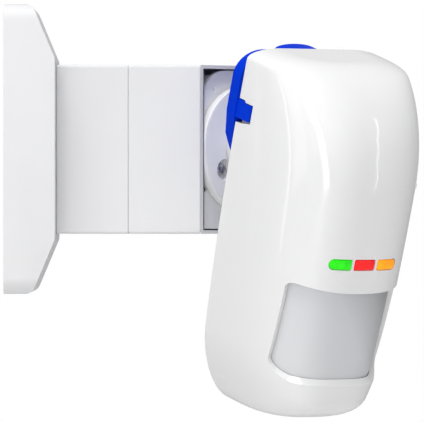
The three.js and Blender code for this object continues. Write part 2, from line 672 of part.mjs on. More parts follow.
function buildCover(head) {
  const tamperPost = overlap(
    rodForward(2.4, [BOARD.front + 9 + 2 * GAP, 60], ...TAMPER_PLACE, 14),
    housingSolid(1),
  );
  const shell = join(cut(housingSolid(0), housingSolid(WALL, -3)), tamperPost);
  const lampHoles = [0, 1, 2].map((place) => lampPrism(place, GAP, [30, 70]));
  const screwHole = rodUp(1.5, [BOTTOM - 6, BOTTOM + 8], 0, -COVER_SCREW_DEPTH);
  const screwRecess = rodUp(2.9, [BOTTOM - 6, BOTTOM + 0.9], 0, -COVER_SCREW_DEPTH);
  addPiece(head, 'front_cover', cut(shell, panel(windowShape(0), [5, 70]), ...lampHoles,
    tabNotch(-1), tabNotch(1), screwHole, screwRecess), FINISHES.coverPlastic);

  const lensShell = cut(housingSolid(WALL + GAP), housingSolid(WALL + GAP + 1, -3));
  addPiece(head, 'fresnel_lens', overlap(lensShell, panel(windowShape(1.2), [20, 70])),
    FINISHES.lensPlastic);

  const frameShell = cut(housingSolid(WALL + 1 + 2 * GAP), housingSolid(WALL + 3, -3));
  const frameRing = cut(panel(windowShape(2), [20, 70]), panel(windowShape(-1.5), [10, 80]));
  addPiece(head, 'lens_frame', overlap(frameShell, frameRing), FINISHES.innerPlastic);

  ['green', 'red', 'yellow'].forEach((colour, place) => {
    const face = cut(overlap(lampPrism(place, 0, [30, 70]), housingSolid(0.1)),
      housingSolid(3, -3));
    const guide = overlap(
      forwardBlock([(place - 1) * LAMP.pitch - 1.6, (place - 1) * LAMP.pitch + 1.6], [22, 70],
        [LAMP.level - 1.3, LAMP.level + 1.3]),
      housingSolid(1),
    );
    addPiece(head, `lamp_window_${colour}`, join(face, guide), FINISHES[`${colour}Lamp`]);
  });

  const coverScrew = addPiece(head, 'cover_screw', screw(2.5, 0.7, 1.1, 2.3), FINISHES.steel);
  coverScrew.position.set(0, -COVER_SCREW_DEPTH, BOTTOM + 0.1);
  coverScrew.rotation.x = -Math.PI / 2;
}

// ---- Assembly --------------------------------------------------------------------------------

const { degToRad } = THREE.MathUtils;
const sensor = new THREE.Group();
buildBase(sensor);
buildSpacers(sensor);
buildCornerHousing(sensor);

const face = new THREE.Group();
face.position.set(CORNER_FACE_MIDDLE, 0, 0);
face.rotation.z = Math.PI / 4;
sensor.add(face);
buildSocketSide(face);

const swivel = new THREE.Group();
swivel.position.set(
  CORNER_FACE_MIDDLE + BALL_STANDOFF * Math.SQRT1_2,
  -BALL_STANDOFF * Math.SQRT1_2,
  0,
);
swivel.rotation.z = degToRad(HEAD_YAW);
sensor.add(swivel);
buildLiner(swivel);

const tilting = new THREE.Group();
tilting.rotation.x = degToRad(HEAD_TILT);
swivel.add(tilting);
buildBallStud(tilting);

const head = new THREE.Group();
head.position.set(0, -HEAD_FORWARD, 0);
tilting.add(head);
buildAdapter(head);
buildRearCasing(head);
buildBoard(head);
buildElectronics(head);
buildCover(head);

export default sensor;
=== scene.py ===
"""Looks of a wall-mounted motion sensor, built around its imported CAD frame.

Lengths are millimetres until a mesh is made, and Blender's objects are in metres. In the turned
frames of the head and of the slanting face, local -Y points forward, local X across and Z up.
"""

import json
import math
import random

import bmesh
import bpy
from mathutils import Matrix, Vector


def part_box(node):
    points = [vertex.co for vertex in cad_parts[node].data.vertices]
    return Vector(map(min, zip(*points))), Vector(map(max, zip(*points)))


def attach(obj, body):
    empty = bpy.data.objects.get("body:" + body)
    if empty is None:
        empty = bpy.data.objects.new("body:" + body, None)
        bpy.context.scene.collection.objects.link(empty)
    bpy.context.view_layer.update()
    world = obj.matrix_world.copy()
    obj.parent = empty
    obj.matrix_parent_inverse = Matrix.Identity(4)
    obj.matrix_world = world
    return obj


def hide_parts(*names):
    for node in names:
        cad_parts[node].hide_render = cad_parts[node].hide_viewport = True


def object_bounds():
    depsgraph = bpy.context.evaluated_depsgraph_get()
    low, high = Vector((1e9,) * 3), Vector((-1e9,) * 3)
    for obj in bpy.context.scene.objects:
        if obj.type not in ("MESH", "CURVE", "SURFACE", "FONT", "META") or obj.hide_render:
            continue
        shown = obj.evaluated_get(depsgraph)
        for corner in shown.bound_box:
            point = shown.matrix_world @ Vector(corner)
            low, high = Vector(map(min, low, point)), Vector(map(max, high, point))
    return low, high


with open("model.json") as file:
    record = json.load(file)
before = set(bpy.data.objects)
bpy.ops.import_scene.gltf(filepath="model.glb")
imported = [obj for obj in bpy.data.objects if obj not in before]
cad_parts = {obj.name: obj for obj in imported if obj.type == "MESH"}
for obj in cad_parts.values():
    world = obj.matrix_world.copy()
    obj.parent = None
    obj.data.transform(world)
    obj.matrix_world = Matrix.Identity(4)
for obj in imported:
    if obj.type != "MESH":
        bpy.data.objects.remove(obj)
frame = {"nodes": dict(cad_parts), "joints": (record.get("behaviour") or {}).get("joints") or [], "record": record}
CAD_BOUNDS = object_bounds()

MM = 0.001
SLOT_OF = {row["node"]: row["material_slot"] for row in frame["record"]["subparts"]}
BODY_OF = {
    node: body
    for body, nodes in frame["record"]["behaviour"]["bodies"].items()
    for node in nodes
}


# ---- Places worked out from the frame --------------------------------------------------------

JOINTS = {joint["name"]: joint for joint in frame["joints"]}


def turned_frame(across, forward, origin):
    """A matrix in metres whose local X is across and whose local -Y is forward."""
    turn = Matrix((across, -forward, forward.cross(across))).transposed()
    return Matrix.Translation(origin * MM) @ turn.to_4x4()


def local_span(node, matrix):
    """Lowest and highest corner of a CAD node in a turned frame, in millimetres."""
    inverse = matrix.inverted()
    places = [inverse @ vertex.co / MM for vertex in frame["nodes"][node].data.vertices]
    low = Vector([min(place[axis] for place in places) for axis in range(3)])
    high = Vector([max(place[axis] for place in places) for axis in range(3)])
    return low, high


def place_of(joint):
    return Vector(JOINTS[joint]["pos_m"]) / MM


BALL = place_of("head_tilt")
ACROSS = Vector(JOINTS["head_tilt"]["axis"]).normalized()
FORWARD = Vector(JOINTS["tamper_press"]["axis"]).normalized()
STAND_OFF = (place_of("cover_swing") - BALL).dot(FORWARD)
HEAD = turned_frame(ACROSS, FORWARD, BALL + STAND_OFF * FORWARD)
TILTING = turned_frame(ACROSS, FORWARD, BALL)
UPRIGHT = turned_frame(ACROSS, Vector((ACROSS.y, -ACROSS.x, 0)), BALL)

CORNER_LOW, CORNER_HIGH = [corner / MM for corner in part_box("corner_housing")]
FACE_MIDDLE = CORNER_HIGH.x - CORNER_HIGH.y
DIAGONAL = math.sqrt(0.5)
FACE = turned_frame(
    Vector((DIAGONAL, DIAGONAL, 0)), Vector((DIAGONAL, -DIAGONAL, 0)), Vector((FACE_MIDDLE, 0, 0))
)
ROW = Matrix.Identity(4)


# ---- Meshes ----------------------------------------------------------------------------------

def smooth_by_angle(mesh, degrees=32):
    mesh.polygons.foreach_set("use_smooth", [True] * len(mesh.polygons))
    mesh.set_sharp_from_angle(angle=math.radians(degrees))
    mesh.update()


def make_object(name, bm, matrix, degrees=32):
    """A bmesh drawn in millimetres becomes an object standing in a turned frame."""
    bmesh.ops.scale(bm, vec=(MM, MM, MM), verts=bm.verts)
    bmesh.ops.recalc_face_normals(bm, faces=bm.faces)
    mesh = bpy.data.meshes.new(name)
    bm.to_mesh(mesh)
    bm.free()
    smooth_by_angle(mesh, degrees)
    made = bpy.data.objects.new(name, mesh)
    bpy.context.scene.collection.objects.link(made)
    made.matrix_world = matrix
    return made


def skin(rings):
    """A closed body through rings of points, with a flat cap on the first and the last."""
    bm = bmesh.new()
    loops = [[bm.verts.new(point) for point in ring] for ring in rings]
    count = len(rings[0])
    for below, above in zip(loops, loops[1:]):
        for j in range(count):
            after = (j + 1) % count
            bm.faces.new((below[j], below[after], above[after], above[j]))
    bm.faces.new(list(reversed(loops[0])))
    bm.faces.new(loops[-1])
    return bm


def lathe(profile, sides=72):
    """A turned body. The profile is a closed loop of (radius, forward) pairs."""
    bm = bmesh.new()
    loops = []
    for i in range(sides):
        angle = 2 * math.pi * i / sides
        loops.append([
            bm.verts.new((radius * math.cos(angle), -forward, radius * math.sin(angle)))
            for radius, forward in profile
        ])
    for i, loop in enumerate(loops):
        following = loops[(i + 1) % sides]
        for j in range(len(profile)):
            after = (j + 1) % len(profile)
            if profile[j][0] > 0 or profile[after][0] > 0:
                bm.faces.new((loop[j], loop[after], following[after], following[j]))
    bmesh.ops.remove_doubles(bm, verts=bm.verts, dist=1e-5)
    bmesh.ops.dissolve_degenerate(bm, edges=bm.edges, dist=1e-6)
    return bm


def filleted(corners, radii, steps=8, edge_steps=1):
    """A closed outline whose corners are rounded, with the same count of points for any size."""
    arcs = []
    count = len(corners)
    for i, corner in enumerate(corners):
        here = Vector(corner)
        to_last = (Vector(corners[i - 1]) - here).normalized()
        to_next = (Vector(corners[(i + 1) % count]) - here).normalized()
        radius = radii[i]
        if radius == 0:
            arcs.append([here])
            continue
        half = to_last.angle(to_next) / 2
        centre = here + (to_last + to_next).normalized() * radius / math.sin(half)
        start = here + to_last * radius / math.tan(half) - centre
        end = here + to_next * radius / math.tan(half) - centre
        turn = start.angle_signed(end)
        arcs.append([
            centre + Matrix.Rotation(-turn * step / steps, 2) @ start for step in range(steps + 1)
        ])
    outline = []
    for i, arc in enumerate(arcs):
        outline += arc
        following = arcs[(i + 1) % count][0]
        outline += [
            arc[-1].lerp(following, step / edge_steps) for step in range(1, edge_steps)
        ]
    return [tuple(point) for point in outline]


def prism(outline, back, front):
    """A slab with an outline in x and z, from back to front."""
    return skin([[(x, -forward, z) for x, z in outline] for forward in (back, front)])


def box(low, high):
    bm = bmesh.new()
    bmesh.ops.create_cube(bm, size=1)
    middle = (Vector(low) + Vector(high)) / 2
    size = Vector(high) - Vector(low)
    bmesh.ops.scale(bm, vec=size, verts=bm.verts)
    bmesh.ops.translate(bm, vec=middle, verts=bm.verts)
    return bm


def rod(radius, back, front, x=0, z=0, sides=48):
    """A cylinder that runs forward."""
    circle = [2 * math.pi * i / sides for i in range(sides)]
    outline = [(x + radius * math.cos(a), z + radius * math.sin(a)) for a in circle]
    return prism(outline, back, front)


def soften(bm, radius, segments=3, degrees=30):
    """Rounds every edge sharper than an angle."""
    sharp = [
        edge for edge in bm.edges
        if len(edge.link_faces) == 2 and edge.calc_face_angle(0) > math.radians(degrees)
    ]
    bmesh.ops.bevel(
        bm, geom=sharp, offset=radius, segments=segments, profile=0.5, affect="EDGES",
        clamp_overlap=True,
    )
    return bm


def combine(target, operation, *tools):
    """Joins, cuts or intersects an object with bmesh tools drawn in the same frame."""
    for tool_mesh in tools:
        tool = make_object("tool", tool_mesh, target.matrix_world.copy())
        modifier = target.modifiers.new("combine", "BOOLEAN")
        modifier.operation = operation
        modifier.object = tool
        modifier.solver = "EXACT"
        bpy.context.view_layer.update()
        graph = bpy.context.evaluated_depsgraph_get()
        mesh = bpy.data.meshes.new_from_object(target.evaluated_get(graph))
        target.modifiers.clear()
        old = target.data
        target.data = mesh
        bpy.data.meshes.remove(old)
        bpy.data.objects.remove(tool)
    smooth_by_angle(target.data)
    return target


def soften_object(target, radius, segments=3, degrees=30):
    """Cleans an object's flat faces and rounds its sharp edges."""
    bm = bmesh.new()
    bm.from_mesh(target.data)
    bmesh.ops.remove_doubles(bm, verts=bm.verts, dist=1e-6)
    bmesh.ops.dissolve_limit(
        bm, angle_limit=math.radians(0.8), verts=bm.verts, edges=bm.edges
    )
    soften(bm, radius * MM, segments, degrees)
    bm.to_mesh(target.data)
    bm.free()
    smooth_by_angle(target.data, 40)
    weighted = target.modifiers.new("flat faces", "WEIGHTED_NORMAL")
    weighted.keep_sharp = True
    return target


def detail_piece(made, body, slot, material=None):
    """The piece rides on a body, takes a slot's material and keeps its points in the row's axes."""
    made.data.transform(made.matrix_world)
    made.matrix_world = Matrix.Identity(4)
    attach(made, body)
    made.data.materials.clear()
    made.data.materials.append(material or MATERIALS[slot])
    return made


def finish_piece(made, node, material=None):
    """The piece stands for a CAD node, on that node's body and with its material."""
    detail_piece(made, BODY_OF[node], SLOT_OF[node], material)
    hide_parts(node)
    return made


def refined(node, radius=0.25, segments=2):
    """A CAD node's own shape, with its edges rounded."""
    made = bpy.data.objects.new(f"{node}_moulded", frame["nodes"][node].data.copy())
    bpy.context.scene.collection.objects.link(made)
    soften_object(made, radius, segments)
    return finish_piece(made, node)


# ---- Materials -------------------------------------------------------------------------------

class Nodes:
    """A few short ways to build one material's node tree."""

    def __init__(self, name):
        self.material = bpy.data.materials.new(name)
        self.material.use_nodes = True
        self.tree = self.material.node_tree
        self.shader = self.tree.nodes["Principled BSDF"]
        self.place = self.add("ShaderNodeTexCoord").outputs["Object"]

    def add(self, kind, **settings):
        node = self.tree.nodes.new(kind)
        for key, value in settings.items():
            setattr(node, key, value)
        return node

    def link(self, source, target):
        self.tree.links.new(source, target)

    def noise(self, scale, detail=3.0, roughness=0.5):
        node = self.add("ShaderNodeTexNoise")
        node.inputs["Scale"].default_value = scale
        node.inputs["Detail"].default_value = detail
        node.inputs["Roughness"].default_value = roughness
        self.link(self.place, node.inputs["Vector"])
        return node.outputs["Fac"]

    def stretched_noise(self, scale, stretch):
        mapping = self.add("ShaderNodeMapping")
        mapping.inputs["Scale"].default_value = stretch
        self.link(self.place, mapping.inputs["Vector"])
        node = self.add("ShaderNodeTexNoise")
        node.inputs["Scale"].default_value = scale
        node.inputs["Detail"].default_value = 2.0
        self.link(mapping.outputs["Vector"], node.inputs["Vector"])
        return node.outputs["Fac"]

    def cells(self, scale, feature="F1"):
        node = self.add("ShaderNodeTexVoronoi", feature=feature)
        node.inputs["Scale"].default_value = scale
        self.link(self.place, node.inputs["Vector"])
        return node.outputs["Distance"]

    def spread(self, source, low, high, start=0.3, end=0.7):
        node = self.add("ShaderNodeMapRange")
        for key, value in (("From Min", start), ("From Max", end), ("To Min", low), ("To Max", high)):
            node.inputs[key].default_value = value
        self.link(source, node.inputs["Value"])
        return node.outputs["Result"]

    def ramp(self, source, stops):
        node = self.add("ShaderNodeValToRGB")
        elements = node.color_ramp.elements
        while len(elements) < len(stops):
            elements.new(0.5)
        for element, (position, colour) in zip(elements, stops):
            element.position = position
            element.color = (*colour, 1)
        self.link(source, node.inputs["Fac"])
        return node.outputs["Color"]

    def bump(self, source, strength, distance, under=None):
        node = self.add("ShaderNodeBump")
        node.inputs["Strength"].default_value = strength
        node.inputs["Distance"].default_value = distance
        self.link(source, node.inputs["Height"])
        if under:
            self.link(under, node.inputs["Normal"])
        return node.outputs["Normal"]

    def colour(self, output):
        self.link(output, self.shader.inputs["Base Color"])

    def roughness(self, output):
        self.link(output, self.shader.inputs["Roughness"])

    def normal(self, output):
        self.link(output, self.shader.inputs["Normal"])

    def settings(self, **values):
        for key, value in values.items():
            self.shader.inputs[key.replace("_", " ")].default_value = value
        return self


def shades(colour, *factors):
    """One colour made darker or lighter by each factor."""
    return [tuple(min(1.0, part * factor) for part in colour) for factor in factors]


def moulded_plastic(name, colour, rough, mottle=0.985, shine=0.5, grain=2600, depth=0.00002):
    """Moulded plastic: a fine spark-eroded grain, slow colour drift and uneven sheen."""
    n = Nodes(name)
    dark, light = shades(colour, mottle, 2 - mottle)
    n.colour(n.ramp(n.noise(28, 4), [(0.3, dark), (0.7, light)]))
    n.roughness(n.spread(n.noise(90, 5), rough - 0.05, rough + 0.06))
    fine = n.bump(n.noise(grain, 2), 0.35, depth)
    n.normal(n.bump(n.noise(140, 2), 0.12, depth * 4, under=fine))
    n.settings(Specular_IOR_Level=shine, IOR=1.48)
    return n.material


def gloss_white():
    """Polished white housing: faint flow ripples, a clear skin and few marks."""
    n = Nodes("gloss_white_plastic")
    n.colour(n.ramp(n.noise(16, 3), [(0.3, (0.765, 0.765, 0.768)), (0.7, (0.785, 0.785, 0.785))]))
    n.roughness(n.spread(n.noise(60, 6), 0.10, 0.17))
    ripple = n.bump(n.noise(110, 1), 0.06, 0.00005)
    n.normal(n.bump(n.noise(900, 2), 0.05, 0.00001, under=ripple))
    n.settings(Coat_Weight=0.6, Coat_Roughness=0.03, IOR=1.5)
    return n.material


def lens_with_painted_shade():
    """Milky lens foil with painted shade: its colour darkens towards the edge under the overhang, where little
    light gets in.
    """
    n = Nodes("milky_lens_painted_shade")
    corners = [HEAD @ (Vector(place) * MM) for place in ((-22, -35, -66), (22, -35, -36))]
    way = corners[1] - corners[0]
    along = n.add("ShaderNodeVectorMath", operation="DOT_PRODUCT")
    along.inputs[1].default_value = way / way.length
    n.link(n.place, along.inputs[0])
    ends = [corner.dot(way / way.length) for corner in corners]
    share = n.spread(along.outputs["Value"], 0, 1, *ends)
    # painted shade: the foil's colour falls from light grey to dark grey along this line, standing in for the
    # shadow under the overhang
    n.colour(n.ramp(share, [(0.0, (0.66, 0.665, 0.68)), (0.55, (0.60, 0.61, 0.635)), (0.8, (0.44, 0.45, 0.465)),
                            (1.0, (0.26, 0.265, 0.275))]))
    n.roughness(n.spread(n.noise(120, 4), 0.34, 0.42))
    n.normal(n.bump(n.noise(2400, 2), 0.06, 0.00001))
    n.settings(Specular_IOR_Level=0.35)
    return n.material


def lamp_plastic(name, deep, bright, glow):
    """Clear coloured lamp window, lit a little from behind."""
    n = Nodes(name)
    n.colour(n.ramp(n.noise(260, 2), [(0.3, deep), (0.7, bright)]))
    n.roughness(n.spread(n.noise(300, 3), 0.10, 0.18))
    n.normal(n.bump(n.cells(900), 0.08, 0.00003))
    n.settings(Emission_Color=(*bright, 1), Emission_Strength=glow, Coat_Weight=0.2,
               Coat_Roughness=0.04, Specular_IOR_Level=0.3)
    return n.material


def plated_metal(name, colour, rough, stretch=(1, 1, 12)):
    """Plated or tinned metal with drawn marks and cloudy plating."""
    n = Nodes(name)
    dark, light = shades(colour, 0.82, 1.1)
    n.colour(n.ramp(n.noise(420, 4), [(0.3, dark), (0.7, light)]))
    n.roughness(n.spread(n.noise(700, 4), rough - 0.08, rough + 0.12))
    n.normal(n.bump(n.stretched_noise(900, stretch), 0.15, 0.00002))
    n.settings(Metallic=1.0)
    return n.material


def solder_mask():
    """Circuit board: green lacquer over straight copper tracks and small pads."""
    n = Nodes("green_circuit_board")
    tracks = n.add("ShaderNodeTexBrick", offset=0.37, squash=0.7)
    for key, value in (("Scale", 190.0), ("Mortar Size", 0.055), ("Mortar Smooth", 0.2),
                       ("Brick Width", 1.7), ("Row Height", 0.42)):
        tracks.inputs[key].default_value = value
    n.link(n.place, tracks.inputs["Vector"])
    pads = n.spread(n.cells(330), 1, 0, 0.12, 0.16)
    n.colour(n.ramp(tracks.outputs["Fac"], [(0.35, (0.012, 0.11, 0.04)), (0.65, (0.03, 0.21, 0.075))]))
    n.roughness(n.spread(n.noise(300, 3), 0.28, 0.4))
    raised = n.bump(tracks.outputs["Fac"], 0.5, 0.00006)
    n.normal(n.bump(pads, 0.4, 0.00005, under=raised))
    n.settings(Coat_Weight=0.4, Coat_Roughness=0.2)
    return n.material


def soft_rubber():
    n = Nodes("grey_rubber")
    n.colour(n.ramp(n.noise(220, 5), [(0.3, (0.13, 0.135, 0.14)), (0.7, (0.19, 0.195, 0.2))]))
    n.roughness(n.spread(n.noise(400, 4), 0.7, 0.88))
    n.normal(n.bump(n.noise(3000, 3), 0.3, 0.00004))
    n.settings(Sheen_Weight=0.15)
    return n.material


MATERIALS = {
    "arm_plastic": moulded_plastic("satin_white_plastic", (0.68, 0.68, 0.69), 0.5, shine=0.3),
    "cover_plastic": gloss_white(),
    "inner_plastic": moulded_plastic("light_grey_plastic", (0.80, 0.80, 0.80), 0.5),
    "blue_plastic": moulded_plastic("satin_blue_plastic", (0.0, 0.033, 0.56), 0.55, 0.94, 0.03),
    "lens_plastic": lens_with_painted_shade(),
    "lamp_green": lamp_plastic("green_lamp", (0.0, 0.50, 0.0), (0.02, 0.82, 0.0), 0.3),
    "lamp_red": lamp_plastic("red_lamp", (0.62, 0.0, 0.005), (0.95, 0.01, 0.01), 0.3),
    "lamp_yellow": lamp_plastic("amber_lamp", (0.86, 0.26, 0.0), (1.0, 0.44, 0.0), 0.3),
    "steel": plated_metal("zinc_plated_steel", (0.56, 0.56, 0.58), 0.3),
    "tin": plated_metal("tinned_sheet", (0.68, 0.69, 0.70), 0.34, (12, 1, 1)),
    "circuit_board": solder_mask(),
    "black_plastic": moulded_plastic("black_plastic", (0.028, 0.028, 0.032), 0.45, 0.9),
    "rubber": soft_rubber(),
}
# painted light: a brighter copy of the white plastic for the socket disc, lifting it out of the shade it sits in
# beside the blue adapter
DISC_PAINTED_LIGHT = moulded_plastic("disc_white_painted_light", (0.90, 0.90, 0.89), 0.45, shine=0.4)


# ---- Wall base and arm -----------------------------------------------------------------------

def along_x(bm):
    """Turns a tool that runs forward into one that runs along the row's X."""
    bmesh.ops.rotate(bm, cent=(0, 0, 0), matrix=Matrix.Rotation(math.pi / 2, 3, "Z"), verts=bm.verts)
    return bm


def across_outline(half_y, half_z, radius):
    """A rounded rectangle across the arm's axis."""
    corners = [(-half_y, -half_z), (half_y, -half_z), (half_y, half_z), (-half_y, half_z)]
    return filleted(corners, [radius] * 4)


def base_form(low, high, inset):
    """The base: its side outline with a slope at both ends, kept inside its front outline."""
    flat, slope_start = 33.3, 10.5
    front, back = high.x - inset, (low.x if inset == 0 else low.x - 5)
    slope_start -= inset / 2
    flat -= inset / 2
    half = high.z - inset
    corners = [(back, -half), (slope_start, -half), (front, -flat), (front, flat), (slope_start, half),
               (back, half)]
    side = prism(filleted(corners, [0, 4, 3, 3, 4, 0]), low.y - 1, high.y + 1)
    made = make_object("base_shell", side, ROW)
    front_outline = across_outline(high.y - inset, half, 6 - inset)
    return combine(made, "INTERSECT", along_x(prism(front_outline, back, front + 5)))


def build_base():
    low, high = [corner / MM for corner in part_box("base_cover")]
    wall = 2.0
    shell = soften_object(base_form(low, high, 0), 0.9, 4)
    shell.modifiers.clear()
    inside = base_form(low, high, wall)
    tool = bmesh.new()
    tool.from_mesh(inside.data)
    bmesh.ops.scale(tool, vec=(1 / MM, 1 / MM, 1 / MM), verts=tool.verts)
    bpy.data.objects.remove(inside)
    holes = [along_x(rod(7, 10, 25))]
    for number in (1, 2):
        screw_low, screw_high = [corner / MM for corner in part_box(f"base_cover_screw_{number}")]
        y = (screw_low.y + screw_high.y) / 2
        holes += [along_x(rod(1.8, 10, 25, x=y)), along_x(rod(2.6, high.x - 1.4, 25, x=y))]
    combine(shell, "DIFFERENCE", tool, *holes)
    finish_piece(shell, "base_cover")
    refined("wall_plate", 0.4)


def build_seam_lips():
    """A low lip on the end of each arm block fills the seam to the next block."""
    blocks = ("base_cover", "spacer_1", "spacer_2", "corner_housing")
    half = [reach / MM - 0.55 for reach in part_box("spacer_1")[1][1:]]
    for number, (before, after) in enumerate(zip(blocks, blocks[1:]), 1):
        start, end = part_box(before)[1].x / MM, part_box(after)[0].x / MM
        lip = along_x(prism(across_outline(*half, 0.8), start - 0.01, end + 0.01))
        made = make_object(f"seam_lip_{number}", lip, ROW)
        holes = [along_x(rod(7, start - 1, end + 1))]
        for bolt in range(1, 5):
            low, high = [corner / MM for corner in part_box(f"stack_bolt_{bolt}")]
            middle = (low + high) / 2
            holes.append(along_x(rod(2.3, start - 1, end + 1, middle.y, middle.z, 24)))
        combine(made, "DIFFERENCE", *holes)
        detail_piece(made, "bracket", "arm_plastic")


def build_arm():
    for node in ("spacer_1", "spacer_2"):
        refined(node, 0.22, 3)
    refined("corner_housing", 0.22, 3)
    build_seam_lips()


# ---- Screws ----------------------------------------------------------------------------------

def cross_recess(radius, top, depth):
    """The tapering cross that a driver fits."""
    arms = []
    for quarter in range(2):
        wide, narrow = (radius, radius * 0.24), (radius * 0.55, radius * 0.12)
        rings = []
        for (long, thin), forward in ((narrow, top - depth), (wide, top + 0.5)):
            half = (long, thin) if quarter else (thin, long)
            rings.append([
                (sx * half[0], -forward, sz * half[1]) for sx, sz in ((-1, -1), (1, -1), (1, 1), (-1, 1))
            ])
        arms.append(skin(rings))
    return arms


def screw_sizes(node, direction):
    """Where a CAD screw stands and how large it is, read from its points."""
    points = [vertex.co / MM for vertex in frame["nodes"][node].data.vertices]
    middle = (Vector(map(min, zip(*points))) + Vector(map(max, zip(*points)))) / 2
    along = [(point - middle).dot(direction) for point in points]
    radial = [((point - middle) - t * direction).length for point, t in zip(points, along)]
    tip, top = min(along), max(along)
    head = max(radial)
    shank = max(r for r, t in zip(radial, along) if t < tip + 0.05)
    under = min(t for r, t in zip(radial, along) if r > (head + shank) / 2)
    return middle, tip, under, top, shank, head


def build_screw(node, direction):
    direction = Vector(direction).normalized()
    middle, tip, under, top, shank, head = screw_sizes(node, direction)
    side = Vector((0, 0, 1)) if abs(direction.z) < 0.9 else Vector((1, 0, 0))
    across = side.cross(direction).normalized()
    matrix = turned_frame(across, direction, middle)
    pitch = 0.9
    turns = int((under - tip) / pitch) - 1
    profile = [(0, tip), (shank * 0.6, tip + 0.1)]
    for turn in range(turns):
        start = tip + 0.3 + turn * pitch
        profile += [(shank * 0.8, start), (shank, start + pitch * 0.45), (shank * 0.8, start + pitch * 0.9)]
    profile += [(shank, under - 0.2), (shank, under), (head * 0.96, under), (head, under + 0.12)]
    dome = 6
    rise = top - under - 0.12
    for step in range(1, dome + 1):
        angle = math.pi / 2 * step / dome
        profile.append((head * math.cos(angle) ** 0.55 if step < dome else 0,
                        under + 0.12 + rise * math.sin(angle)))
    made = make_object(f"{node}_turned", lathe(profile, 40), matrix)
    combine(made, "DIFFERENCE", *cross_recess(head * 0.55, top, rise * 0.75))
    finish_piece(made, node)


def build_screws():
    out_of_face = (FACE.to_3x3() @ Vector((0, -1, 0))).normalized()
    for number in (1, 2):
        build_screw(f"base_cover_screw_{number}", (1, 0, 0))
        build_screw(f"socket_screw_{number}", out_of_face)
        build_screw(f"stud_screw_{number}", -FORWARD)
        build_screw(f"adapter_screw_{number}", FORWARD)
        build_screw(f"board_screw_{number}", FORWARD)
    for number in range(1, 5):
        build_screw(f"stack_bolt_{number}", (-1, 0, 0))
    build_screw("cover_screw", -(FORWARD.cross(ACROSS)))


# ---- The slanting face and the ball joint ----------------------------------------------------

def moved(bm, x, z):
    bmesh.ops.translate(bm, vec=(x, 0, z), verts=bm.verts)
    return bm


def annulus_sector(inner, outer, start, end, back, front, steps=14):
    """A curved slot cutter between two radii and two angles in degrees."""
    turn = [math.radians(start + (end - start) * step / steps) for step in range(steps + 1)]
    outline = [(outer * math.cos(a), outer * math.sin(a)) for a in turn]
    outline += [(inner * math.cos(a), inner * math.sin(a)) for a in reversed(turn)]
    return prism(outline, back, front)


def screw_places():
    places = []
    for number in (1, 2):
        low, high = local_span(f"socket_screw_{number}", FACE)
        places.append(((low.x + high.x) / 2, (low.z + high.z) / 2))
    return places


def build_disc():
    low, high = local_span("socket_disc", FACE)
    radius, back, bore = high.z, -high.y, 7.0
    groove = radius - 0.62
    profile = [
        (bore, back), (radius - 0.4, back), (radius, back + 0.4), (radius, -0.3),
        (radius - 0.1, -0.09), (radius - 0.3, 0), (groove + 0.1, 0), (groove, -0.3),
        (groove - 0.12, -0.3), (groove - 0.2, 0), (bore + 0.3, 0), (bore, -0.3),
    ]
    disc = make_object("arm_disc", lathe(profile, 160), FACE)
    reach = 6
    plan = [(low.x - 1, -1), (high.x + 1, -1), (high.x - reach, reach), (low.x + reach, reach)]
    room = skin([[(x, y, z) for x, y in plan] for z in (-radius - 1, radius + 1)])
    combine(disc, "INTERSECT", room)
    tools = []
    for x, z in screw_places():
        recess = [(0, -2.6), (3.7, -2.6), (3.7, -0.35), (4.05, 0.02), (4.05, 1), (0, 1)]
        tools += [moved(lathe(recess, 48), x, z), rod(1.7, -5, 1, x, z, 24)]
    combine(disc, "DIFFERENCE", *tools)
    # the disc takes the brightened copy of the white plastic, which is painted light
    finish_piece(disc, "socket_disc", DISC_PAINTED_LIGHT)


def build_flange():
    low, high = local_span("socket_flange", FACE)
    flange = bpy.data.objects.new("arm_flange", frame["nodes"]["socket_flange"].data.copy())
    bpy.context.scene.collection.objects.link(flange)
    flange.data.transform(FACE.inverted())
    flange.matrix_world = FACE
    front = -low.y
    rim = local_span("socket_disc", FACE)[1].z
    corner = (low.x + 5.4, high.z - 7.1)
    tools = [rod(1.0, front - 0.9, front + 1, side * corner[0], corner[1], 28) for side in (-1, 1)]
    tools += [annulus_sector(rim - 0.6, rim + 1.3, start, start + 13, front - 5, front + 1)
              for start in (206, 321)]
    combine(flange, "DIFFERENCE", *tools)
    soften_object(flange, 0.22, 2)
    finish_piece(flange, "socket_flange")


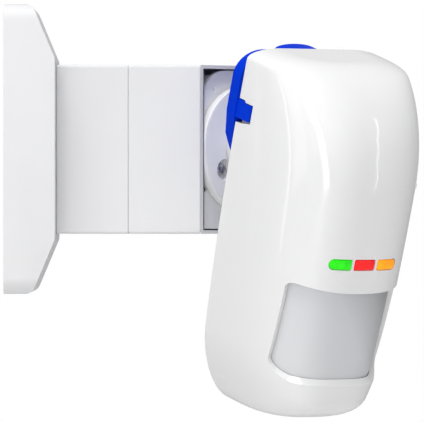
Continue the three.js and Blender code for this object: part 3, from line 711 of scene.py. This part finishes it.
def build_ball_joint():
    foot, lip, rise = 12.5, 10.8, 11.0
    cavity, centre = 9.6, 7.0
    bottom = math.asin((0.3 - centre) / cavity)
    top = math.asin((rise - centre) / cavity)
    hollow = []
    for step in range(25):
        angle = top + (bottom - top) * step / 24
        hollow.append((cavity * math.cos(angle), centre + cavity * math.sin(angle)))
    outside = [(foot - 0.3, 0.3), (foot, 0.6), (foot, 3.6), (foot - 0.15, 4.1), (lip + 0.2, rise - 0.6),
               (lip - 0.1, rise - 0.1), (lip - 0.5, rise)]
    cup = make_object("ball_cup", lathe(outside + hollow, 96), FACE)
    slots = [annulus_sector(8.5, 14, angle - 3, angle + 3, 5.5, 12, 4) for angle in range(0, 360, 60)]
    combine(cup, "DIFFERENCE", *slots)
    finish_piece(cup, "ball_socket")

    inner, outer, low, high = 8.3, 9.3, -38, 22
    arc = [math.radians(low + (high - low) * step / 16) for step in range(17)]
    ring = [(outer * math.cos(a), outer * math.sin(a)) for a in arc]
    ring += [(inner * math.cos(a), inner * math.sin(a)) for a in reversed(arc)]
    finish_piece(make_object("liner_ring", lathe(ring, 72), UPRIGHT), "ball_liner")

    refined_round = local_span("ball_stud", TILTING)
    flange_radius, flange_front = refined_round[1].z, -refined_round[0].y
    flange_back, neck, bore, ball = flange_front - 2.9, 3.5, 2.2, 8.0
    start, end = -math.acos(bore / ball), math.acos(neck / ball)
    body = []
    for step in range(33):
        angle = start + (end - start) * step / 32
        body.append((ball * math.cos(angle), ball * math.sin(angle)))
    body += [(neck, flange_back - 1.2), (neck + 0.3, flange_back - 0.5), (neck + 1.2, flange_back),
             (flange_radius - 0.3, flange_back), (flange_radius, flange_back + 0.3),
             (flange_radius, flange_front - 0.3), (flange_radius - 0.3, flange_front),
             (bore, flange_front)]
    stud = make_object("stud_turned", lathe(body, 80), TILTING)
    tools = []
    for number in (1, 2):
        span = local_span(f"stud_screw_{number}", TILTING)
        x = (span[0].x + span[1].x) / 2
        tools += [rod(2.6, flange_back - 1, flange_back + 1.6, x), rod(1.5, 5, 20, x)]
    combine(stud, "DIFFERENCE", *tools)
    finish_piece(stud, "ball_stud")


# ---- Blue adapter ----------------------------------------------------------------------------

def curve_points(start, control, end, steps=14):
    """A quadratic curve without its last point."""
    points = []
    for step in range(steps):
        t = step / steps
        points.append(tuple(
            (1 - t) ** 2 * a + 2 * t * (1 - t) * b + t * t * c for a, b, c in zip(start, control, end)
        ))
    return points


def ellipse_points(centre, radii, start, end, steps=20):
    turn = [math.radians(start + (end - start) * step / steps) for step in range(steps + 1)]
    return [(centre[0] + radii[0] * math.cos(a), centre[1] + radii[1] * math.sin(a)) for a in turn]


def adapter_outline(inset):
    """A shield: flat top, elliptical shoulders and a tapering rounded foot."""
    low, high = local_span("mount_adapter", HEAD)
    half, top, foot = high.x - inset, high.z - 0.4 - inset, low.z + inset
    width, height = 12.2, 9.7
    right = curve_points((0, foot), (half * 0.62, foot + 2), (half - 1.3, 11))
    right += [(half - 1.3, 11), (half, 20)]
    right += ellipse_points((half - width, top - height), (width, height), 0, 90)
    left = [(-x, z) for x, z in reversed(right[1:])]
    return right + left


TAB = {"low": 18.3, "high": 24.4, "inner": 29.8, "outer": 31.6, "step": 0.8}


def tab_bodies(depth):
    """The two side tabs, each with a step in its upper edge."""
    tabs = []
    low, high, step = TAB["low"], TAB["high"], TAB["step"]
    outline = [
        (-2, low), (depth, low), (depth, high), (depth - 4.2, high), (depth - 4.9, high + step),
        (-2, high + step),
    ]
    outline = filleted(outline, [0, 0.8, 0.8, 0.3, 0.3, 0], 5)
    for side in (-1, 1):
        ends = sorted((side * TAB["inner"], side * TAB["outer"]))
        tab = skin([[(x, -forward, z) for forward, z in outline] for x in ends])
        tabs.append(soften(tab, 0.25, 3, 60))
    return tabs


def build_adapter():
    low, high = local_span("mount_adapter", HEAD)
    back, floor, front, rim = -5.2, -3.6, -0.3, 2.2
    shell = soften(prism(adapter_outline(0), back, front), 0.7, 4, 50)
    plate = make_object("adapter_shell", shell, HEAD)
    combine(plate, "DIFFERENCE", prism(adapter_outline(rim), floor, 1))
    spine_half, spine_low, crown = 9.4, 14, 2.6
    arch = [(spine_half * math.cos(a), high.z - crown * (1 - math.sin(a) ** 0.8))
            for a in (math.pi * step / 24 for step in range(25))]
    spine_outline = [(-spine_half, spine_low), (spine_half, spine_low)] + arch
    spine = soften(prism(spine_outline, -high.y, back + 0.7), 0.8, 3, 50)
    ribs = [box((x - 0.8, 0.9, -4), (x + 0.8, 0.2 - floor, 36)) for x in (-18, 18)]
    hub = rod(10, floor - 0.5, front, sides=64)
    screws = [local_span(f"adapter_screw_{number}", HEAD) for number in (1, 2)]
    levels = [(span[0].z + span[1].z) / 2 for span in screws]
    bosses = [rod(3.4, floor - 0.5, front, 0, z) for z in levels]
    combine(plate, "UNION", spine, hub, *bosses, *ribs, *tab_bodies(-low.y))
    holes = [rod(1.5, floor - 1.2, 2, 0, z, 24) for z in levels]
    holes.append(rod(3, back - 3, 2, sides=40))
    for number in (1, 2):
        span = local_span(f"stud_screw_{number}", HEAD)
        holes.append(rod(1.5, back - 3, 2, (span[0].x + span[1].x) / 2, 0, 24))
    combine(plate, "DIFFERENCE", *holes)
    finish_piece(plate, "mount_adapter")


# ---- Front cover -----------------------------------------------------------------------------

COVER_LOW, COVER_HIGH = local_span("front_cover", HEAD)
TOP, BOTTOM = COVER_HIGH.z, COVER_LOW.z - 1.4
HALF_WIDTH, FULL_DEPTH = COVER_HIGH.x, -COVER_LOW.y
COVER_BACK = -COVER_HIGH.y
FLANK_START = COVER_BACK + 1.5
WALL = 2.0
LENS_INSET = 2.3
CHAMFER = 2.1


def quarter_drop(share, power=2.0):
    """How far a quarter of a superellipse has fallen, from 0 at its start to 1 at its end."""
    share = min(max(share, 0.0), 1.0)
    return 1 - (1 - share ** power) ** (1 / power)


def half_width_at(height):
    bowed = HALF_WIDTH - 4.05e-4 * (height - 24) ** 2
    return (bowed - 15 * quarter_drop((height - TOP) / 4.2 + 1)
            - 16.1 * quarter_drop((BOTTOM - height) / 28.7 + 1, 1.8))


def depth_at(height):
    bowed = FULL_DEPTH - 3.6e-4 * (height + 20) ** 2
    top_roll, bottom_roll = 3.4, -76.6
    return (bowed - 31 * quarter_drop((height - top_roll) / (TOP - top_roll))
            - 36.1 * quarter_drop((bottom_roll - height) / (bottom_roll - BOTTOM), 1.8))


def squareness_at(height):
    return 3.14 - 0.0033 * height


def inset_height(height, inset):
    return height + inset * (1 - 2 * (height - BOTTOM) / (TOP - BOTTOM))


def height_before_inset(height, inset):
    pull = 2 * inset / (TOP - BOTTOM)
    return (height - inset - pull * BOTTOM) / (1 - pull)


def housing_ring(height, inset, back, steps):
    """One level of the housing: two back corners and a squarish rounded front."""
    half = half_width_at(height) - inset
    reach = depth_at(height) - inset - FLANK_START
    z = inset_height(height, inset)
    power = 2 / squareness_at(height)
    ring = [(half, -back, z), (-half, -back, z)]
    for step in range(steps + 1):
        angle = math.pi * step / steps
        across = -math.copysign(abs(math.cos(angle)) ** power, math.cos(angle))
        forward = max(math.sin(angle), 0.0) ** power
        ring.append((half * across, -FLANK_START - reach * forward, z))
    return ring


def housing(inset, back, levels=84, steps=96):
    middle, reach = (TOP + BOTTOM) / 2, (TOP - BOTTOM) / 2
    heights = [
        middle - reach * math.sin(math.pi / 2 * math.cos(math.pi * i / levels))
        for i in range(levels + 1)
    ]
    return skin([housing_ring(height, inset, back, steps) for height in heights])


def surface_at(x, z, inset=0.0):
    """How far forward the housing's skin lies at one place seen from the front."""
    height = height_before_inset(z, inset)
    half = half_width_at(height) - inset
    reach = depth_at(height) - inset - FLANK_START
    power = squareness_at(height)
    share = max(1 - min(abs(x) / half, 1.0) ** power, 0.0)
    return FLANK_START + reach * share ** (1 / power)


WINDOW = {"low": -67.9, "top": -34.4, "low_half": 23.0, "top_half": 23.4, "arch": 2.0}


def window_outline(margin):
    """The lens window from the front. Its top edge rises to both ends and keeps no margin."""
    low, top = WINDOW["low"] - margin, WINDOW["top"]
    low_half, top_half = WINDOW["low_half"] + margin, WINDOW["top_half"] + margin
    corners = [(-low_half, low), (low_half, low), (top_half, top), (-top_half, top)]
    low_radius, top_radius = 6.0 + 0.8 * margin, 1.6 + 0.3 * margin
    outline = filleted(corners, [low_radius, low_radius, top_radius, top_radius], 9, 26)
    middle = (low + top) / 2
    return [
        (x, z + WINDOW["arch"] * (x / top_half) ** 2 * max(0, (z - middle) / (top - middle)))
        for x, z in outline
    ]


def window_cutter():
    """Opens the window with a border that slopes in to the lens."""
    wide, narrow = window_outline(CHAMFER), window_outline(0.0)
    skin_level = [(x, -surface_at(x, z) - 0.02, z) for x, z in wide]
    lens_level = [(x, -surface_at(x, z, LENS_INSET - 0.25), z) for x, z in narrow]
    return skin([
        [(x, -70, z) for x, z in wide], skin_level, lens_level, [(x, -12, z) for x, z in narrow],
    ])


LAMP = {"pitch": 10.6, "half": 4.6, "tall": 1.9, "level": -23.4}


def lamp_outline(place, margin):
    """A lamp seen from the front: the outer end of each outer lamp is round."""
    middle = (place - 1) * LAMP["pitch"]
    half, tall = LAMP["half"] + margin, LAMP["tall"] + margin
    low, high = LAMP["level"] - tall, LAMP["level"] + tall
    corners = [(middle - half, low), (middle + half, low), (middle + half, high), (middle - half, high)]
    tight, full = 0.45 + margin, tall * 0.97
    left = full if place == 0 else tight
    right = full if place == 2 else tight
    return filleted(corners, [left, right, right, left], 8, 6)


def draped(outline, inset, middle, shares, rounding):
    """Rings that close over a patch of the housing's skin, its edge a little rounded off."""
    rings = []
    for share in shares:
        ring = []
        for x, z in outline:
            px = middle[0] + (x - middle[0]) * share
            pz = middle[1] + (z - middle[1]) * share
            ring.append((px, -surface_at(px, pz, inset) + rounding * max(0.0, share - 0.9) / 0.1, pz))
        rings.append(ring)
    return rings


def build_lamps():
    for place, colour in enumerate(("green", "red", "yellow")):
        outline = lamp_outline(place, -0.08)
        middle = ((place - 1) * LAMP["pitch"], LAMP["level"])
        root = [(x, -surface_at(x, z, 3.0), z) for x, z in outline]
        lip = [(x, -surface_at(x, z, 0.35), z) for x, z in outline]
        rings = [root, lip] + draped(outline, -0.12, middle, (0.975, 0.93, 0.88, 0.7, 0.45, 0.2, 0.05), 0.18)
        bm = skin(rings)
        made = make_object(f"lamp_{colour}_window", bm, HEAD, 50)
        x, z = middle
        guide = soften(box((x - 1.6, -surface_at(x, z, 1.0), z - 1.3), (x + 1.6, -21.5, z + 1.3)), 0.2, 2)
        combine(made, "UNION", guide)
        finish_piece(made, f"lamp_window_{colour}")


def tab_notch(side, depth):
    """The notch that a side tab lies in. It is wider at the back, so the cover can swing."""
    low, high, step = TAB["low"], TAB["high"] + 0.3, TAB["step"]
    profile = [
        (-5, low - 1.9), (COVER_BACK, low - 1.8), (depth - 4, low - 1.4), (depth - 1.5, low - 0.8),
        (depth + 0.35, low - 0.5), (depth + 0.35, high), (depth - 4.2, high),
        (depth - 4.9, high + step), (-5, high + step),
    ]
    ends = sorted((side * (TAB["inner"] - 2), side * (TAB["outer"] + 4)))
    return skin([[(x, -forward, z) for forward, z in profile] for x in ends])


def build_cover():
    cover = make_object("cover_shell", housing(0, COVER_BACK), HEAD)
    combine(cover, "DIFFERENCE", housing(WALL, -3, 60, 72))
    lamp_holes = []
    for place in range(3):
        outline = lamp_outline(place, 0.22)
        lamp_holes.append(skin([
            [(x, -70, z) for x, z in outline], [(x, -28, z) for x, z in outline],
        ]))
    span = local_span("cover_screw", HEAD)
    screw = ((span[0].x + span[1].x) / 2, (span[0].y + span[1].y) / 2)
    circle = [2 * math.pi * i / 40 for i in range(40)]
    drill = []
    for radius, end in ((1.5, COVER_LOW.z + 8), (2.9, COVER_LOW.z + 0.9)):
        ring = [(screw[0] + radius * math.cos(a), screw[1] + radius * math.sin(a)) for a in circle]
        drill.append(skin([[(x, y, z) for x, y in ring] for z in (BOTTOM - 6, end)]))
    depth = -local_span("mount_adapter", HEAD)[0].y
    notches = [tab_notch(side, depth) for side in (-1, 1)]
    combine(cover, "DIFFERENCE", window_cutter(), *lamp_holes, *notches, *drill)
    tamper = local_span("tamper_plunger", HEAD)
    x, z = (tamper[0].x + tamper[1].x) / 2, (tamper[0].z + tamper[1].z) / 2
    combine(cover, "UNION", rod(2.4, -tamper[0].y + 0.6, surface_at(x, z, 1.0), x, z, 32))
    finish_piece(cover, "front_cover")


def build_lens():
    """The lens foil: a smooth curved face with fine lens strips moulded on its back."""
    outline = window_outline(1.1)
    low, high = min(z for x, z in outline), max(z for x, z in outline) + 1.2
    rows, columns = 96, 64
    front, rear = [], []
    for i in range(rows + 1):
        z = low + (high - low) * i / rows
        half = 24.1 + 0.7 * (z - low) / (high - low)
        strip = abs((i % 8) / 4 - 1) * 0.28
        front.append([(half * (2 * j / columns - 1), z, 0.0) for j in range(columns + 1)])
        rear.append([(half * (2 * j / columns - 1), z, strip) for j in range(columns + 1)])
    bm = bmesh.new()
    grids = []
    for points, inset in ((front, LENS_INSET), (rear, LENS_INSET + 1.0)):
        grids.append([
            [bm.verts.new((x, -surface_at(x, z, inset) - rise, z)) for x, z, rise in row] for row in points
        ])
    for grid in grids:
        for i in range(rows):
            for j in range(columns):
                bm.faces.new((grid[i][j], grid[i][j + 1], grid[i + 1][j + 1], grid[i + 1][j]))
    edge = [(0, j) for j in range(columns)] + [(i, columns) for i in range(rows)]
    edge += [(rows, j) for j in range(columns, 0, -1)] + [(i, 0) for i in range(rows, 0, -1)]
    for (i, j), (k, m) in zip(edge, edge[1:] + edge[:1]):
        bm.faces.new((grids[0][i][j], grids[0][k][m], grids[1][k][m], grids[1][i][j]))
    finish_piece(make_object("lens_foil", bm, HEAD), "fresnel_lens")
    refined("lens_frame", 0.12)


# ---- Inside the head -------------------------------------------------------------------------

def build_casing():
    refined("rear_casing", 0.25)
    refined("case_gasket", 0.1)
    for node in ("cable_grommet", "cable_seal"):
        refined(node, 0.2, 3)
    refined("main_board", 0.08, 1)
    refined("microwave_board", 0.08, 1)
    refined("microwave_shield", 0.3, 3)
    refined("sensor_shroud", 0.25, 2)


def board_front():
    return -local_span("main_board", HEAD)[0].y


def build_relays():
    """Two sealed relays with a vent nick and a raised frame on top."""
    for node in ("alarm_relay", "tamper_relay"):
        low, high = local_span(node, HEAD)
        body = make_object(f"{node}_case", soften(box(low, high), 0.5, 3), HEAD)
        front = -low.y
        recess = box((low.x + 1, -front - 1, low.z + 1.2), (high.x - 1, -front + 0.25, high.z - 1.2))
        nick = rod(0.6, front - 0.8, front + 1, high.x - 2.2, high.z - 2.4, 20)
        combine(body, "DIFFERENCE", recess, nick)
        finish_piece(body, node)


def build_terminals():
    """A screw terminal strip: a row of clamps, each with its screw and its wire way."""
    low, high = local_span("terminal_block", HEAD)
    body = make_object("terminal_strip", soften(box(low, high), 0.35, 2), HEAD)
    front, count = -low.y, 8
    pitch = (high.x - low.x) / count
    tools, heads = [], []
    for i in range(count):
        x = low.x + pitch * (i + 0.5)
        tools.append(rod(1.35, front - 3, front + 1, x, (low.z + high.z) / 2 + 0.8, 24))
        tools.append(box((x - 1.2, -front + 4, low.z - 1), (x + 1.2, -front + 7, low.z + 3)))
        groove = low.x + pitch * (i + 1)
        if i < count - 1:
            tools.append(box((groove - 0.12, -front - 1, low.z - 1), (groove + 0.12, -front + 0.6, high.z + 1)))
        heads.append((x, (low.z + high.z) / 2 + 0.8))
    combine(body, "DIFFERENCE", *tools)
    finish_piece(body, "terminal_block")
    parts = bmesh.new()
    for x, z in heads:
        head = lathe([(0, front - 2.9), (1.2, front - 2.9), (1.2, front - 1.5), (1.0, front - 1.3),
                      (0, front - 1.3)], 24)
        add_to(parts, moved(head, x, z))
    screws = make_object("terminal_screws", parts, HEAD)
    slots = [box((x - 1.1, -front + 1, z - 0.17), (x + 1.1, -front + 1.8, z + 0.17)) for x, z in heads]
    combine(screws, "DIFFERENCE", *slots)
    detail_piece(screws, "detector", "steel")


def add_to(whole, part):
    """Puts one bmesh into another and frees it."""
    mesh = bpy.data.meshes.new("part")
    part.to_mesh(mesh)
    part.free()
    whole.from_mesh(mesh)
    bpy.data.meshes.remove(mesh)


def build_round_parts():
    low, high = local_span("capacitor", HEAD)
    radius, back, front = (high.x - low.x) / 2, -high.y, -low.y
    x, z = (low.x + high.x) / 2, (low.z + high.z) / 2
    can = [(0, back), (radius - 0.25, back), (radius, back + 0.3), (radius, back + 1.3),
           (radius - 0.25, back + 1.6), (radius, back + 1.9), (radius, front - 0.5),
           (radius - 0.15, front - 0.12), (radius - 0.5, front), (radius - 0.7, front - 0.2), (0, front - 0.2)]
    made = make_object("capacitor_can", moved(lathe(can, 64), x, z), HEAD)
    score = [box((x - 2, -front - 0.1, z - 0.12), (x + 2, -front + 0.35, z + 0.12)),
             box((x - 0.12, -front - 0.1, z - 2), (x + 0.12, -front + 0.35, z + 2))]
    combine(made, "DIFFERENCE", *score)
    finish_piece(made, "capacitor")

    low, high = local_span("pyro_sensor", HEAD)
    radius, back, front = (high.x - low.x) / 2, -high.y, -low.y
    x, z = (low.x + high.x) / 2, (low.z + high.z) / 2
    can = [(0, back), (radius, back), (radius, back + 0.5), (radius - 0.5, back + 0.6),
           (radius - 0.5, front - 0.5), (radius - 0.7, front - 0.12), (radius - 1.0, front), (0, front)]
    made = make_object("pyro_can", moved(lathe(can, 64), x, z), HEAD)
    combine(made, "DIFFERENCE", box((x - 2, -front - 0.1, z - 1.5), (x + 2, -front + 0.3, z + 1.5)))
    finish_piece(made, "pyro_sensor")
    glass = soften(box((x - 1.9, -front + 0.12, z - 1.4), (x + 1.9, -front + 0.3, z + 1.4)), 0.05, 2)
    detail_piece(make_object("pyro_window", glass, HEAD), "detector", "black_plastic")

    for colour in ("green", "red", "yellow"):
        low, high = local_span(f"led_{colour}", HEAD)
        radius, back, front = (high.x - low.x) / 2, -high.y, -low.y
        dome = [(0, back), (radius, back), (radius, back + 0.6), (radius * 0.88, back + 0.65)]
        for step in range(9):
            angle = math.pi / 2 * step / 8
            dome.append((radius * 0.88 * math.cos(angle) if step < 8 else 0,
                         front - radius * (1 - math.sin(angle))))
        bm = moved(lathe(dome, 48), (low.x + high.x) / 2, (low.z + high.z) / 2)
        finish_piece(make_object(f"led_{colour}_dome", bm, HEAD), f"led_{colour}")


def build_switch_and_trimmers():
    refined("tamper_switch", 0.2, 2)
    low, high = local_span("tamper_plunger", HEAD)
    radius, back, front = (high.x - low.x) / 2, -high.y, -low.y
    pin = [(0, back), (radius, back), (radius, front - 0.9), (radius - 0.2, front - 0.35),
           (radius - 0.6, front - 0.05), (0, front)]
    bm = moved(lathe(pin, 48), (low.x + high.x) / 2, (low.z + high.z) / 2)
    finish_piece(make_object("plunger_pin", bm, HEAD), "tamper_plunger")
    for number in (1, 2):
        refined(f"trimmer_body_{number}", 0.25, 2)
        low, high = local_span(f"trimmer_rotor_{number}", HEAD)
        radius, back, front = (high.x - low.x) / 2, -high.y, -low.y
        x, z = (low.x + high.x) / 2, (low.z + high.z) / 2
        knob = [(0, back), (radius, back), (radius, front - 0.3), (radius - 0.25, front), (0, front)]
        made = make_object(f"rotor_{number}_knob", moved(lathe(knob, 48), x, z), HEAD)
        slot = box((x - 1.4, -front - 1, z - 0.35), (x + 1.4, -front + 0.8, z + 0.35))
        point = skin([[(x + a, y, z + b) for a, b in ((1.0, -0.8), (1.75, 0), (1.0, 0.8))]
                      for y in (-front - 1, -front + 0.8)])
        combine(made, "DIFFERENCE", slot, point)
        finish_piece(made, f"trimmer_rotor_{number}")


def build_small_parts():
    """Chip resistors, chip capacitors and a controller, set out in rows on the main board."""
    seat = board_front() + 0.02
    draw = random.Random(7)
    ceramics, ends, chips, pins = (bmesh.new() for _ in range(4))
    rows = [(-8, -12, 4), (-8, -17, 4), (-9, -32, 5), (14, -40, 3), (-20, -44, 3), (15, -50, 3), (-20, 12, 2)]
    for start, level, count in rows:
        for i in range(count):
            x, z = start + i * 3.4, level + draw.uniform(-0.2, 0.2)
            add_to(ceramics, soften(box((x - 0.65, -seat - 0.55, z - 0.5), (x + 0.65, -seat, z + 0.5)), 0.08, 1))
            for side in (-1, 1):
                edge = sorted((x + side * 0.66, x + side * 1.0))
                add_to(ends, soften(box((edge[0], -seat - 0.58, z - 0.53), (edge[1], -seat, z + 0.53)), 0.08, 1))
    for x, z, half_x, half_z in ((-2, -5, 4.2, 3.0), (4, -35, 2.6, 2.2)):
        add_to(chips, soften(box((x - half_x, -seat - 1.5, z - half_z), (x + half_x, -seat - 0.2, z + half_z)), 0.18, 2))
        legs = int(half_x * 2 / 1.27)
        for i in range(legs):
            leg_x = x - (legs - 1) * 0.635 + i * 1.27
            for side in (-1, 1):
                near, far = sorted((z + side * half_z, z + side * (half_z + 1.1)))
                add_to(pins, soften(box((leg_x - 0.2, -seat - 0.5, near), (leg_x + 0.2, -seat, far)), 0.06, 1))
    detail_piece(make_object("chip_resistors", ceramics, HEAD), "detector", "black_plastic")
    detail_piece(make_object("chip_ends", ends, HEAD), "detector", "tin")
    detail_piece(make_object("controller_chips", chips, HEAD), "detector", "black_plastic")
    detail_piece(make_object("controller_legs", pins, HEAD), "detector", "tin")


# ---- Stage, light and camera -----------------------------------------------------------------

def stage_floor(low):
    n = Nodes("pale_floor")
    n.colour(n.ramp(n.noise(3, 3), [(0.3, (0.90, 0.90, 0.90)), (0.7, (0.93, 0.93, 0.93))]))
    n.roughness(n.spread(n.noise(8, 3), 0.75, 0.9))
    bm = bmesh.new()
    bmesh.ops.create_grid(bm, x_segments=24, y_segments=24, size=12000)
    floor = make_object("floor", bm, Matrix.Translation((0, 0, low.z - 0.7)))
    floor.data.materials.append(n.material)


def studio_world():
    """Soft white light all round, strongest from behind the camera; the open background is white."""
    world = bpy.data.worlds.new("studio")
    bpy.context.scene.world = world
    world.use_nodes = True
    tree = world.node_tree
    tree.nodes.clear()

    def add(kind):
        return tree.nodes.new(kind)

    def share_of(output, low, high):
        node = add("ShaderNodeMapRange")
        node.inputs["From Min"].default_value = -1.0
        node.inputs["To Min"].default_value = low
        node.inputs["To Max"].default_value = high
        tree.links.new(output, node.inputs["Value"])
        return node.outputs["Result"]

    place, split, ramp = add("ShaderNodeTexCoord"), add("ShaderNodeSeparateXYZ"), add("ShaderNodeValToRGB")
    soft, white, mix = add("ShaderNodeBackground"), add("ShaderNodeBackground"), add("ShaderNodeMixShader")
    ray, output = add("ShaderNodeLightPath"), add("ShaderNodeOutputWorld")
    stops = [(0.0, 0.55), (0.06, 0.42), (0.15, 0.32), (0.35, 0.26), (0.5, 0.24), (0.7, 0.32), (1.0, 0.40)]
    elements = ramp.color_ramp.elements
    while len(elements) < len(stops):
        elements.new(0.5)
    for element, (position, level) in zip(elements, stops):
        element.position = position
        element.color = (level, level, level, 1)
    tree.links.new(place.outputs["Generated"], split.inputs["Vector"])
    tree.links.new(share_of(split.outputs["Y"], 0, 1), ramp.inputs["Fac"])
    tree.links.new(ramp.outputs["Color"], soft.inputs["Color"])
    tree.links.new(share_of(split.outputs["Z"], 0.98, 1.7), soft.inputs["Strength"])
    tree.links.new(ray.outputs["Is Camera Ray"], mix.inputs["Fac"])
    tree.links.new(soft.outputs["Background"], mix.inputs[1])
    white.inputs["Color"].default_value = (1, 1, 1, 1)
    tree.links.new(white.outputs["Background"], mix.inputs[2])
    tree.links.new(mix.outputs["Shader"], output.inputs["Surface"])


def strip_light(name, target, start, end, width, brightness):
    """A strip 2.2 m from its target, between two directions given as azimuth and elevation.

    Azimuth 0 is towards the camera and 90 is to the right.
    """
    ends = []
    for azimuth, elevation in (start, end):
        turn, lift = math.radians(azimuth), math.radians(elevation)
        way = Vector((math.sin(turn) * math.cos(lift), -math.cos(turn) * math.cos(lift), math.sin(lift)))
        ends.append(way * 2.2)
    middle, along = (ends[0] + ends[1]) / 2, ends[1] - ends[0]
    data = bpy.data.lights.new(name, "AREA")
    data.shape = "RECTANGLE"
    data.size, data.size_y = width, along.length
    data.energy = brightness * math.pi * width * along.length
    light = bpy.data.objects.new(name, data)
    bpy.context.scene.collection.objects.link(light)
    away, up = middle.normalized(), along.normalized()
    turned = Matrix((up.cross(away).normalized(), up, away)).transposed()
    light.matrix_world = Matrix.Translation(Vector(target) + middle) @ turned.to_4x4()
    light.visible_camera = False


def build_lights(head_middle):
    """Strips that the glossy head shows as its bright ridge lines."""
    strips = (
        ("ridge_strip", (-71, 13), (-71, -11), 0.07, 3.0),
        ("upper_band", (-50, 38), (-22, 14), 0.26, 2.4),
        ("softbox", (-18, 20), (0, -24), 0.40, 4.4),
        ("left_fill", (-55, 30), (-55, -10), 0.80, 0.7),
        ("top_panel", (-10, 88), (-10, 46), 1.60, 4.4),
    )
    for name, start, end, width, brightness in strips:
        strip_light(name, head_middle, start, end, width, brightness)
    bends = [(80, 28), (75, 12), (74, -4), (77, -20), (79.5, -34)]
    for number, (start, end) in enumerate(zip(bends, bends[1:]), 1):
        strip_light(f"right_line_{number}", head_middle, start, end, 0.012, 8.0)


def build_camera(low, high):
    """A long lens that looks along +Y, with the wall at the left edge of the picture."""
    distance, width = 2.4, 0.1569
    data = bpy.data.cameras.new("camera")
    data.sensor_width = 36
    data.lens = data.sensor_width * distance / width
    data.clip_start, data.clip_end = 0.1, 60
    camera = bpy.data.objects.new("camera", data)
    bpy.context.scene.collection.objects.link(camera)
    middle = Vector((0.0766, (low.y + high.y) / 2, -0.0228))
    camera.location = middle + Vector((0, -distance, 0))
    camera.rotation_euler = (math.pi / 2, 0, 0)
    bpy.context.scene.camera = camera
    bpy.context.scene.view_settings.view_transform = "Standard"


def build_all():
    build_base()
    build_arm()
    build_screws()
    build_disc()
    build_flange()
    build_ball_joint()
    build_adapter()
    build_cover()
    build_lamps()
    build_lens()
    build_casing()
    build_relays()
    build_terminals()
    build_round_parts()
    build_switch_and_trimmers()
    build_small_parts()


build_all()
LOW, HIGH = CAD_BOUNDS
stage_floor(LOW)
studio_world()
build_lights((HEAD @ Vector((0, -0.02, -0.02))))
build_camera(LOW, HIGH)
